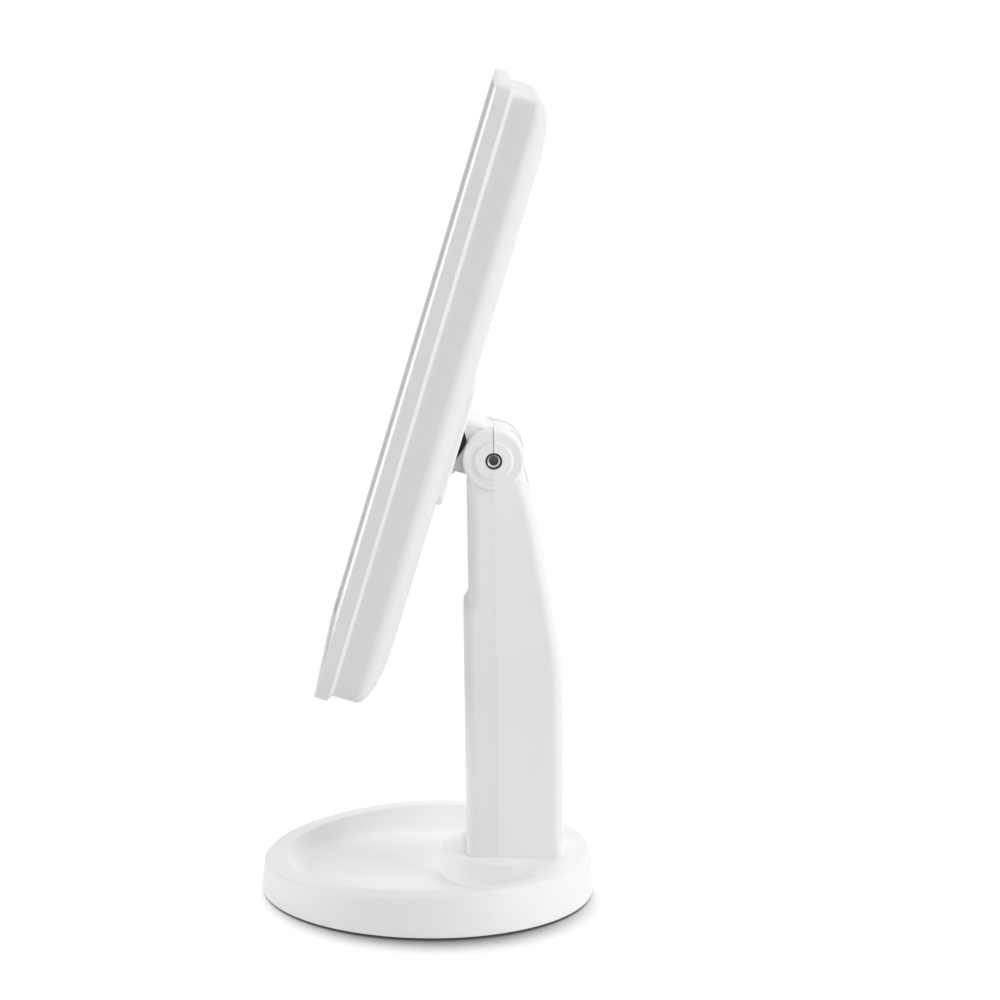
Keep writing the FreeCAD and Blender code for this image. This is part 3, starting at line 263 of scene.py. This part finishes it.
# Black ABS round the cells: dark, with a soft sheen
HOLDER_ABS = Finish("abs_moulded_black", "1B1B1C", "242425", (0.4, 0.5), ior=1.53, relief_mm=0.01)
# Opal acrylic: milky, even white that spreads the light of the chips behind it
OPAL_ACRYLIC = Finish("acrylic_extruded_opal", "F5F5F1", "EEEEEA", (0.35, 0.45), ior=1.49)
# Foam rubber die-cut from sheet: dull black with cut pores
PAD_FOAM = Foam("eva_foam_die_cut", "131313", "1D1D1D", (0.75, 0.9), relief_mm=0.12)
# Conductive foam: dark grey with finer pores
SENSOR_FOAM = Foam("conductive_foam_die_cut", "232325", "2C2C2E", (0.7, 0.85), relief_mm=0.06,
                   cell_mm=0.6)
# Silicone cord round the glass: pale grey and dull
GASKET_RUBBER = Finish("silicone_rubber_extruded", "EAEAEA", "E2E2E2", (0.55, 0.7), relief_mm=0.01)
# Near black with a dull bloom, on the block in the hinge neck's window
NECK_WINDOW_BLACK = Finish("neck_window_black", "0C0C0C", "151515", (0.5, 0.65), relief_mm=0.01)
# Extruded PVC: a smooth black jacket with a soft sheen
LEAD_PVC = Finish("pvc_extruded_jacket", "161616", "202020", (0.4, 0.5), relief_mm=0.005)
# Zinc-plated steel: a pale blue-grey
ZINC_STEEL = Drawn("steel_zinc_plated", "B9BCC0", "A7AAAE", (0.28, 0.4), metallic=1.0)
# Blackened steel: dark with an oily sheen
BLACK_STEEL = Drawn("steel_black_oxide", "48484A", "545456", (0.3, 0.42), metallic=1.0)
# Painted highlight: near-white steel on the pivot screws' socket chamfer, standing in for the light
# ring it catches
CHAMFER_PAINTED_HIGHLIGHT = Drawn("steel_painted_highlight", "ECEDEE", "E0E1E2", (0.2, 0.3), metallic=1.0)
# Stamped plate: mid grey and dull
BALLAST_STEEL = Drawn("steel_stamped_plate", "8D8D8F", "7A7A7C", (0.4, 0.55), metallic=1.0)
# Nickel plate: bright with a warm tinge
NICKEL_STRIP = Drawn("steel_nickel_plated_strip", "C9C5BC", "BBB7AE", (0.22, 0.34), metallic=1.0)
# Printed sleeve on a dry cell: dark body, copper-coloured band at the tip end
CELL_BODY = Drawn("pet_sleeve_printed_black", "1F2022", "292A2C", (0.25, 0.35), relief_mm=0.002)
CELL_BAND = Drawn("pet_sleeve_printed_copper", "B5713F", "A8683A", (0.25, 0.35), metallic=0.8,
                  relief_mm=0.002)
# Silvered float glass: a clean mirror with the faintest ripple
SILVERED_GLASS = Finish("float_glass_silvered", "EEF1F0", "ECEFEE", (0.015, 0.025), metallic=1.0,
                        cloud_mm=60.0, grain_mm=40.0, relief_mm=0.0004)
# The ground edge of the glass: pale green and dull
GROUND_GLASS = Finish("float_glass_ground_edge", "B9C7C0", "A9B8B0", (0.3, 0.45), ior=1.52)
# Screen-printed ink: a thin pale grey film on the glass
MARK_INK = Finish("screen_ink_printed_grey", "C9CACA", "BFC0C0", (0.45, 0.6), relief_mm=0.002)
# Glass-epoxy board under white solder mask: off-white with a slight gloss
BOARD_MASK = Finish("fr4_laminate_solder_masked", "E6E9E4", "DADDD8", (0.35, 0.5), relief_mm=0.01)
# Phosphor in cast silicone over the chips: a clear warm yellow
CHIP_RESIN = Finish("silicone_cast_phosphor", "E8CF63", "DDC253", (0.2, 0.3), ior=1.41)

NODE_FINISHES = {
    # column_front_shell takes the greyer white of painted shade
    "base_tray": WHITE_ABS, "column_front_shell": FRONT_ABS_PAINTED_SHADE, "column_rear_shell": WHITE_ABS,
    "battery_door": WHITE_ABS, "front_frame": HEAD_ABS, "rear_shell": HEAD_ABS,
    "hinge_bracket": WHITE_ABS, "base_cover": COVER_ABS, "anti_slip_pad": PAD_FOAM,
    "ballast_plate": BALLAST_STEEL, "cover_screws": ZINC_STEEL, "foot_screws": ZINC_STEEL,
    "column_screws": ZINC_STEEL, "bracket_screws": ZINC_STEEL, "pivot_screws": BLACK_STEEL,
    "friction_washers": NYLON_SHEET, "battery_cells": CELL_BODY, "contact_holders": HOLDER_ABS,
    "contact_strips": NICKEL_STRIP, "column_lead": LEAD_PVC, "head_lead": LEAD_PVC,
    "led_leads": LEAD_PVC, "mirror_gasket": GASKET_RUBBER, "lead_grommet": NECK_WINDOW_BLACK,
    "mirror_glass": SILVERED_GLASS, "mirror_carrier": CARRIER_ABS, "light_diffusers": OPAL_ACRYLIC,
    "led_boards": BOARD_MASK, "touch_board": BOARD_MASK, "led_chips": CHIP_RESIN,
    "touch_sensor": SENSOR_FOAM,
}


def dress_nodes() -> None:
    """Give every node of the frame its finish."""
    for name, node in frame["nodes"].items():
        material = NODE_FINISHES[name].material()
        for holder in node.material_slots:
            holder.material = material
        LOG.info("dressed %s in %s", name, material.name)


# Pieces
def hinge_frame(lean: float) -> Matrix:
    """The frame on the hinge axis, turned about it.

    Args:
        lean: Degrees by which the top goes towards -Y.

    Returns:
        Matrix from the local frame, in metres, to the world.
    """
    tilt = next(joint for joint in frame["joints"] if joint["name"] == "head_tilt")
    return Matrix.Translation(Vector(tilt["pos_m"])) @ Matrix.Rotation(math.radians(lean), 4, "X")


def make_piece(name: str, mesh: Shape, body: Body, finishes: Sequence[Finish],
               replaced: Iterable[str] = ()) -> bpy.types.Object:
    """Turn a bmesh into a finished piece that rides on a body.

    Args:
        name: Name of the piece.
        mesh: Shape in the world frame; it is freed here.
        body: Body that carries the piece.
        finishes: Finishes by material index.
        replaced: Nodes of the frame that the piece stands for.

    Returns:
        The new object.
    """
    bmesh.ops.remove_doubles(mesh, verts=mesh.verts, dist=PIECE_MERGE * MM)
    bmesh.ops.recalc_face_normals(mesh, faces=mesh.faces)
    data = bpy.data.meshes.new(name)
    mesh.to_mesh(data)
    mesh.free()
    data.shade_smooth()
    data.set_sharp_from_angle(angle=SHARP_ANGLE)
    for finish in finishes:
        data.materials.append(finish.material())
    piece = bpy.data.objects.new(name, data)
    bpy.context.scene.collection.objects.link(piece)
    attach(piece, body.value)
    if replaced:
        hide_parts(*replaced)
    LOG.info("built %s on %s with %d faces", name, body.value, len(data.polygons))
    return piece


def lathe(profile: Sequence[tuple[float, float]], steps: int = 64) -> Shape:
    """Spin a profile round the local Z axis.

    Args:
        profile: Radius and height of each point, in millimetres, from the lower end to the upper.
        steps: Number of sides.

    Returns:
        The turned shape, in metres; an end that isn't on the axis stays open.
    """
    mesh = bmesh.new()
    points = [mesh.verts.new((radius * MM, 0, height * MM)) for radius, height in profile]
    edges = [mesh.edges.new(pair) for pair in zip(points, points[1:])]
    bmesh.ops.spin(mesh, geom=points + edges, cent=(0, 0, 0), axis=(0, 0, 1), angle=math.tau,
                   steps=steps, use_merge=True)
    bmesh.ops.remove_doubles(mesh, verts=mesh.verts, dist=LATHE_MERGE * MM)
    return mesh


def sink_socket(mesh: Shape, outline: Sequence[tuple[float, float]], depth: float) -> None:
    """Close the open top of a turned screw head with a driver socket.

    Args:
        mesh: Turned head with its axis on local Z and its upper edge open.
        outline: Corners of the socket in order, in millimetres.
        depth: Depth of the socket, in millimetres.
    """
    rim = [edge for edge in mesh.edges if edge.is_boundary]
    top = max(vertex.co.z for vertex in rim[0].verts)
    corners = [mesh.verts.new((across * MM, along * MM, top)) for across, along in outline]
    mouth = [mesh.edges.new(pair) for pair in zip(corners, corners[1:] + corners[:1])]
    bmesh.ops.triangle_fill(mesh, edges=rim + mouth, use_beauty=True, normal=(0, 0, 1))
    sunk = bmesh.ops.extrude_edge_only(mesh, edges=mouth)["geom"]
    floor = [item for item in sunk if isinstance(item, bmesh.types.BMVert)]
    bmesh.ops.translate(mesh, vec=(0, 0, -depth * MM), verts=floor)
    low = set(floor)
    ring = [item for item in sunk
            if isinstance(item, bmesh.types.BMEdge) and low.issuperset(item.verts)]
    bmesh.ops.contextual_create(mesh, geom=ring)


def polygon(sides: int, radius: float) -> list[tuple[float, float]]:
    """Corners of a regular polygon.

    Args:
        sides: Number of sides.
        radius: Distance of the corners from the middle.

    Returns:
        The corners in order.
    """
    turns = [math.tau * corner / sides for corner in range(sides)]
    return [(radius * math.cos(turn), radius * math.sin(turn)) for turn in turns]


def cross(reach: float, half_width: float) -> list[tuple[float, float]]:
    """Corners of an upright cross.

    Args:
        reach: Distance from the middle to the end of an arm.
        half_width: Half the width of an arm.

    Returns:
        The corners in order.
    """
    arm = [(reach, -half_width), (reach, half_width), (half_width, half_width)]
    turns = [Matrix.Rotation(quarter * QUARTER_TURN, 2) for quarter in range(4)]
    return [tuple(turn @ Vector(corner)) for turn in turns for corner in arm]


def joined(meshes: Iterable[Shape]) -> Shape:
    """Put several shapes into one bmesh.

    Args:
        meshes: Shapes to join; they are freed here.

    Returns:
        The bmesh that holds them all.
    """
    whole = bmesh.new()
    for mesh in meshes:
        data = bpy.data.meshes.new("part")
        mesh.to_mesh(data)
        mesh.free()
        whole.from_mesh(data)
        bpy.data.meshes.remove(data)
    return whole


@dataclass
class BaseTray:
    """The base moulding; the pedestal's wall stands upright from the lip to the dish floor.

    Angles are in degrees from the front, round the pedestal: up to the first the wall is upright,
    and from there it fades back to the flare that it keeps at the tips of the dish.
    """

    pedestal: tuple[float, float] = (0.0, 28.2)
    lip_radius: float = 23.6
    foot_radius: float = 27.7
    dish_floor: float = 7.1
    draft_kept: float = 0.3
    upright_to: float = 60.0
    fades_at: float = 97.0

    def build(self) -> None:
        """Copy the moulding and draw the foot of the wall in under the lip."""
        mesh = bmesh.new()
        mesh.from_mesh(frame["nodes"]["base_tray"].data)
        bmesh.ops.remove_doubles(mesh, verts=mesh.verts, dist=PIECE_MERGE * MM)
        middle = Vector(self.pedestal) * MM
        for vertex in mesh.verts:
            out = vertex.co.xy - middle
            on_wall = self.lip_radius < out.length / MM < self.foot_radius
            if on_wall and vertex.co.z > self.dish_floor * MM:
                vertex.co.xy = middle + out.normalized() * self.drawn_in(out) * MM
        piece = make_piece("tray_moulding", mesh, Body.STAND, (WHITE_ABS,),
                           ("base_tray",))
        weighted = piece.modifiers.new("even_shading", "WEIGHTED_NORMAL")
        weighted.keep_sharp = True

    def drawn_in(self, out: Vector) -> float:
        """Distance of a point of the wall from the pedestal's axis once the wall stands upright.

        Args:
            out: From the axis to the point, in metres.

        Returns:
            The new distance, in millimetres; it is unchanged towards the tips of the dish.
        """
        turn = math.degrees(abs(math.atan2(out.x, -out.y)))
        share = min(1.0, max(0.0, (self.fades_at - turn) / (self.fades_at - self.upright_to)))
        flare = out.length / MM - self.lip_radius
        return self.lip_radius + flare * (1 - share * (1 - self.draft_kept))


@dataclass
class MirrorGlass:
    """The glass and its touch mark, drawn in the head frame; depths run forward from the hinge."""

    tilt: float = -15.9
    rise: float = 19.5
    half_width: float = 62.3
    half_height: float = 105.05
    corner: float = 4.8
    back: float = 34.7
    front: float = 36.55
    ground_edge: float = 0.4
    corner_steps: int = 10
    mark_height: float = -70.25
    mark_radius: float = 6.75
    mark_width: float = 0.8
    ink_thickness: float = 0.03

    def build(self) -> None:
        """Make the pane and print the mark on it."""
        self.build_pane()
        self.build_mark()

    def build_pane(self) -> None:
        """Cut the pane with round corners and grind its front edge."""
        mesh = bmesh.new()
        # Two millimetres across, so that half sizes scale it
        bmesh.ops.create_cube(mesh, size=2 * MM)
        thickness = self.front - self.back
        bmesh.ops.scale(mesh, vec=(self.half_width, thickness / 2, self.half_height),
                        verts=mesh.verts)
        through = [edge for edge in mesh.edges
                   if abs(edge.verts[0].co.y - edge.verts[1].co.y) > thickness / 2 * MM]
        bmesh.ops.bevel(mesh, geom=through, offset=self.corner * MM, segments=self.corner_steps,
                        profile=0.5, affect="EDGES", material=-1)
        face = min(mesh.faces, key=lambda item: item.calc_center_median().y)
        bmesh.ops.bevel(mesh, geom=list(face.edges), offset=self.ground_edge * MM, segments=1,
                        profile=0.5, affect="EDGES", material=-1)
        mesh.normal_update()
        for item in mesh.faces:
            item.material_index = int(abs(item.normal.y) < FLAT_ACROSS)
        middle = (self.front + self.back) / 2
        bmesh.ops.translate(mesh, vec=(0, -middle * MM, self.rise * MM), verts=mesh.verts)
        bmesh.ops.transform(mesh, matrix=hinge_frame(self.tilt), verts=mesh.verts)
        make_piece("mirror_pane", mesh, Body.HEAD,
                   (SILVERED_GLASS, GROUND_GLASS), ("mirror_glass",))

    def build_mark(self) -> None:
        """Print the ring that shows where to touch."""
        inner, outer = self.mark_radius - self.mark_width, self.mark_radius
        ink = self.ink_thickness
        mesh = lathe(((inner, 0), (outer, 0), (outer, ink), (inner, ink), (inner, 0)))
        spot = Matrix.Translation((0, -self.front * MM, self.mark_height * MM))
        forward = Matrix.Rotation(QUARTER_TURN, 4, "X")
        bmesh.ops.transform(mesh, matrix=hinge_frame(self.tilt) @ spot @ forward, verts=mesh.verts)
        make_piece("touch_ring", mesh, Body.HEAD, (MARK_INK,))


@dataclass
class HingePivots:
    """The two socket screws that the head turns on and their washers, from the middle outwards."""

    lean: float = 1.6
    shank_end: float = 4.2
    shank_radius: float = 1.9
    seat: float = 15.5
    head_radius: float = 2.7
    shoulder: float = 16.7
    top: float = 17.3
    highlight_outer: float = 2.25
    highlight_inner: float = 1.65
    socket_sides: int = 6
    socket_radius: float = 1.6
    socket_depth: float = 1.2
    washer_bore: float = 2.2
    washer_radius: float = 10.65
    washer_inner_face: float = 8.46
    washer_outer_face: float = 8.79

    def build(self) -> None:
        """Make the screws and the washers on them."""
        self.build_screws()
        self.build_washers()

    def build_screws(self) -> None:
        """Turn both screws and paint a highlight ring on the chamfer round their sockets."""
        mesh = joined(self.turn_screw(side) for side in SIDES)
        bmesh.ops.transform(mesh, matrix=hinge_frame(self.lean), verts=mesh.verts)
        make_piece("pivot_bolts", mesh, Body.STAND, (BLACK_STEEL, CHAMFER_PAINTED_HIGHLIGHT),
                   ("pivot_screws",))

    def turn_screw(self, side: int) -> Shape:
        """Turn one screw.

        Args:
            side: 1 for the right screw, -1 for the left.

        Returns:
            The screw along the hinge axis.
        """
        highlight_low = self.top - (self.highlight_outer - self.highlight_inner)
        mesh = lathe(((0, self.shank_end), (self.shank_radius, self.shank_end),
                      (self.shank_radius, self.seat), (self.head_radius, self.seat),
                      (self.head_radius, self.shoulder), (self.highlight_outer, self.top),
                      (self.highlight_inner, highlight_low)))
        # The chamfer ring takes the near-white steel as a painted highlight
        for face in mesh.faces:
            middle = face.calc_center_median()
            on_highlight = self.highlight_inner < middle.xy.length / MM < self.highlight_outer
            face.material_index = int(on_highlight and middle.z > highlight_low * MM)
        sink_socket(mesh, polygon(self.socket_sides, self.socket_radius), self.socket_depth)
        outwards = Matrix.Rotation(side * QUARTER_TURN, 4, "Y")
        bmesh.ops.transform(mesh, matrix=outwards, verts=mesh.verts)
        return mesh

    def build_washers(self) -> None:
        """Punch the two thin washers that fill the slits beside the barrel."""
        low, high = self.washer_inner_face, self.washer_outer_face
        bore, radius = self.washer_bore, self.washer_radius
        profile = ((bore, low), (radius, low), (radius, high), (bore, high), (bore, low))
        turned = [lathe(profile) for side in SIDES]
        for side, mesh in zip(SIDES, turned):
            outwards = Matrix.Rotation(side * QUARTER_TURN, 4, "Y")
            bmesh.ops.transform(mesh, matrix=outwards, verts=mesh.verts)
        mesh = joined(turned)
        bmesh.ops.transform(mesh, matrix=hinge_frame(self.lean), verts=mesh.verts)
        make_piece("pivot_washers", mesh, Body.STAND, (NYLON_SHEET,),
                   ("friction_washers",))


@dataclass
class ColumnBack:
    """What shows on the column's back: the two shell screws in their wells."""

    lean: float = 1.6
    screw_spread: float = 8.5
    screw_drop: float = 34.0
    screw_end: float = -5.0
    point_radius: float = 0.6
    point_length: float = 1.1
    shank_radius: float = 1.2
    seat: float = 12.0
    head_radius: float = 2.4
    head_height: float = 1.1
    crown: float = 0.5
    socket_reach: float = 1.25
    socket_half_width: float = 0.28
    socket_depth: float = 0.7

    def build(self) -> None:
        """Turn the pan-head screws and sink their cross sockets."""
        mesh = joined(self.turn_screw(side) for side in SIDES)
        bmesh.ops.transform(mesh, matrix=hinge_frame(self.lean), verts=mesh.verts)
        make_piece("shell_screws", mesh, Body.STAND, (ZINC_STEEL,),
                   ("column_screws",))

    def turn_screw(self, side: int) -> Shape:
        """Turn one screw.

        Args:
            side: 1 for the right screw, -1 for the left.

        Returns:
            The screw in its place in the stand frame.
        """
        top = self.seat + self.head_height
        # A point a third of the crown in from the corner rounds the head's edge
        inset = self.crown / 3
        mesh = lathe(((0, self.screw_end), (self.point_radius, self.screw_end),
                      (self.shank_radius, self.screw_end + self.point_length),
                      (self.shank_radius, self.seat), (self.head_radius, self.seat),
                      (self.head_radius, top - self.crown), (self.head_radius - inset, top - inset),
                      (self.head_radius - self.crown, top)))
        sink_socket(mesh, cross(self.socket_reach, self.socket_half_width), self.socket_depth)
        spot = Matrix.Translation((side * self.screw_spread * MM, 0, -self.screw_drop * MM))
        backwards = Matrix.Rotation(-QUARTER_TURN, 4, "X")
        bmesh.ops.transform(mesh, matrix=spot @ backwards, verts=mesh.verts)
        return mesh


@dataclass
class BatteryPack:
    """The four cells that stand in the column, tips up and down by turns."""

    lean: float = 1.6
    foot: float = -136.5
    length: float = 49.5
    tip_height: float = 1.0
    radius: float = 7.05
    tip_radius: float = 2.7
    crimp: float = 0.6
    label_edge: float = 5.2
    band_height: float = 14.0
    spread: float = 7.1
    rows: tuple[float, float] = (-2.6, 11.6)

    def build(self) -> None:
        """Turn the cells and set them in their places."""
        spots = [(side * self.spread, row, order)
                 for side in SIDES for order, row in enumerate(self.rows)]
        mesh = joined(self.turn_cell(*spot) for spot in spots)
        bmesh.ops.transform(mesh, matrix=hinge_frame(self.lean), verts=mesh.verts)
        make_piece("dry_cells", mesh, Body.STAND,
                   (CELL_BODY, CELL_BAND, NICKEL_STRIP), ("battery_cells",))

    def turn_cell(self, across: float, along: float, turned_over: int) -> Shape:
        """Turn one cell with its sleeve, band, crimped ends and tip.

        Args:
            across: Place of its axis along X.
            along: Place of its axis along Y.
            turned_over: 1 where the tip points down.

        Returns:
            The cell in its place in the stand frame.
        """
        top = self.length
        band = top - self.band_height
        tip = top + self.tip_height
        mesh = lathe(((0, 0), (self.label_edge, 0), (self.radius - self.crimp, 0),
                      (self.radius, self.crimp), (self.radius, band),
                      (self.radius, top - self.crimp), (self.radius - self.crimp, top),
                      (self.label_edge, top), (self.tip_radius, top),
                      (self.tip_radius, top + self.tip_height / 2),
                      (self.tip_radius - self.crimp, tip), (0, tip)))
        sleeve_index, band_index, bare_index = range(3)
        for face in mesh.faces:
            middle = face.calc_center_median()
            printed = band_index if middle.z > band * MM else sleeve_index
            bare = middle.xy.length < self.label_edge * MM
            face.material_index = bare_index if bare else printed
        spot = Matrix.Translation((across * MM, along * MM, self.foot * MM))
        if turned_over:
            over = Matrix.Rotation(math.pi, 4, "X")
            spot = spot @ Matrix.Translation((0, 0, tip * MM)) @ over
        bmesh.ops.transform(mesh, matrix=spot, verts=mesh.verts)
        return mesh


# Studio
@dataclass(frozen=True)
class Softbox:
    """A square area lamp that looks at the object; lengths in metres, power in watts."""

    name: str
    place: tuple[float, float, float]
    side: float
    power: float

    def light(self, target: Vector) -> None:
        """Hang the lamp and turn it to the target.

        Args:
            target: Point that the lamp looks at.
        """
        data = bpy.data.lights.new(self.name, "AREA")
        data.shape = "SQUARE"
        data.size = self.side
        data.energy = self.power
        lamp = bpy.data.objects.new(self.name, data)
        lamp.location = self.place
        lamp.rotation_euler = (target - lamp.location).to_track_quat("-Z", "Y").to_euler()
        bpy.context.scene.collection.objects.link(lamp)


@dataclass
class Studio:
    """Pale floor, white surroundings and soft lamps; lengths are in metres.

    Where the share of open sky over the floor is below shadow_core, the painted shadow leaves the
    floor as dark as shadow_floor, and above shadow_edge it is as bright as floor_lift.
    """

    floor_half: float = 12.0
    floor_roughness: float = 0.9
    floor_specular: float = 0.0
    floor_colour: str = "F4F4F4"
    shadow_colour: str = "484848"
    floor_lift: float = 1.0
    shadow_reach: float = 0.033
    shadow_core: float = 0.33
    shadow_floor: float = 0.05
    shadow_edge: float = 0.7
    shadow_samples: int = 16
    sky_lobe: tuple[float, float, float] = (-0.86, -0.1, 0.5)
    ambient: float = 0.43
    target: tuple[float, float, float] = (0.0, 0.02, 0.12)
    lamps: tuple[Softbox, ...] = (
        Softbox("lamp_right", (0.67, 1.69, 0.85), 1.2, 18.5),
        Softbox("lamp_behind", (-1.2, 0.3, 1.8), 1.2, 11.6),
        Softbox("lamp_left", (0.3, -1.9, 0.85), 1.2, 15.0),
    )

    def build(self) -> None:
        """Set up the floor, the world and the lamps."""
        self.build_floor()
        self.build_world()
        for lamp in self.lamps:
            lamp.light(Vector(self.target))
        bpy.context.scene.view_settings.view_transform = "Standard"

    def build_floor(self) -> None:
        """Lay a pale floor that glows white to the camera, with a painted shadow where the object
        hides the sky.

        The open sky is felt over a lobe that leans to -X, so the painted shadow falls on the +X
        side.
        """
        mesh = bmesh.new()
        bmesh.ops.create_grid(mesh, x_segments=1, y_segments=1, size=self.floor_half)
        data = bpy.data.meshes.new("floor")
        mesh.to_mesh(data)
        mesh.free()
        floor = bpy.data.objects.new("floor", data)
        bpy.context.scene.collection.objects.link(floor)
        material = bpy.data.materials.new("paper_floor_painted_shadow")
        material.use_nodes = True
        tree = material.node_tree
        shader = tree.nodes["Principled BSDF"]
        shader.inputs["Roughness"].default_value = self.floor_roughness
        shader.inputs["Specular IOR Level"].default_value = self.floor_specular
        seen = self.seen_directly(tree)
        # The camera sees the dark shadow colour, so little real light shows on the floor and the
        # painted shadow sets its shade
        paper = add_node(tree, "ShaderNodeMix", {"data_type": "RGBA"}, _0=seen,
                         _6=linear(self.floor_colour), _7=linear(self.shadow_colour))
        tree.links.new(paper.outputs[2], shader.inputs["Base Color"])
        # Painted shadow: the floor's glow dims where the object hides a lobe of the sky
        lobe = add_node(tree, "ShaderNodeCombineXYZ", **dict(zip("XYZ", self.sky_lobe)))
        open_sky = add_node(tree, "ShaderNodeAmbientOcclusion", {"samples": self.shadow_samples},
                            Distance=self.shadow_reach, Normal=lobe.outputs["Vector"])
        clear = add_node(tree, "ShaderNodeMapRange", Value=open_sky.outputs["AO"],
                         From_Min=self.shadow_core, From_Max=self.shadow_edge,
                         To_Min=self.shadow_floor, To_Max=self.floor_lift)
        lift = add_node(tree, "ShaderNodeMath", {"operation": "MULTIPLY"}, _0=seen,
                        _1=clear.outputs["Result"])
        shader.inputs["Emission Color"].default_value = WHITE
        tree.links.new(lift.outputs["Value"], shader.inputs["Emission Strength"])
        data.materials.append(material)

    @staticmethod
    def seen_directly(tree: Tree) -> Socket:
        """Tell what is seen, in a mirror and through glass too, from the light on things.

        Args:
            tree: Node tree that takes the nodes.

        Returns:
            A socket that is one for camera, glossy and transmission rays, and nought for others.
        """
        path = add_node(tree, "ShaderNodeLightPath")
        clear = add_node(tree, "ShaderNodeMath", {"operation": "MAXIMUM"},
                         _0=path.outputs["Is Camera Ray"], _1=path.outputs["Is Glossy Ray"])
        either = add_node(tree, "ShaderNodeMath", {"operation": "MAXIMUM"},
                          _0=clear.outputs["Value"], _1=path.outputs["Is Transmission Ray"])
        return either.outputs["Value"]

    def build_world(self) -> None:
        """Surround the object with white, and light it evenly at the ambient level."""
        world = bpy.data.worlds.new("white_room")
        world.use_nodes = True
        tree = world.node_tree
        background = tree.nodes["Background"]
        background.inputs["Color"].default_value = WHITE
        span = add_node(tree, "ShaderNodeMapRange", Value=self.seen_directly(tree),
                        To_Min=self.ambient, To_Max=1.0)
        tree.links.new(span.outputs["Result"], background.inputs["Strength"])
        bpy.context.scene.world = world


@dataclass
class Viewpoint:
    """The camera, from the fit to the photograph; angles in degrees, lengths in millimetres."""

    distance: float = 1050.8
    pitch: float = 10.383
    yaw: float = -0.708
    roll: float = 0.943
    aim: tuple[float, float, float] = (0.0, 24.01, 143.7)
    lens: float = 106.41
    sensor: float = 36.0
    far_limit: float = 100000.0

    def build(self) -> None:
        """Set the camera and make it the scene's own."""
        data = bpy.data.cameras.new("camera")
        data.lens = self.lens
        data.sensor_width = self.sensor
        data.clip_end = self.far_limit * MM
        camera = bpy.data.objects.new("camera", data)
        pitch, yaw, roll = (math.radians(angle) for angle in (self.pitch, self.yaw, self.roll))
        ahead = Vector((-math.cos(pitch) * math.cos(yaw), -math.cos(pitch) * math.sin(yaw),
                        -math.sin(pitch)))
        level = ahead.cross(Vector((0, 0, 1))).normalized()
        upright = level.cross(ahead)
        right = math.cos(roll) * level + math.sin(roll) * upright
        up = math.cos(roll) * upright - math.sin(roll) * level
        turn = Matrix((right, up, -ahead)).transposed().to_4x4()
        place = Vector(self.aim) * MM - ahead * self.distance * MM
        camera.matrix_world = Matrix.Translation(place) @ turn
        bpy.context.scene.collection.objects.link(camera)
        bpy.context.scene.camera = camera


def main() -> None:
    """Dress the frame, build the pieces and set up the studio."""
    logging.basicConfig(level=logging.INFO, format="%(message)s")
    dress_nodes()
    for assembly in (BaseTray(), MirrorGlass(), HingePivots(), ColumnBack(), BatteryPack()):
        assembly.build()
    Studio().build()
    Viewpoint().build()


if __name__ == "__main__":
    main()
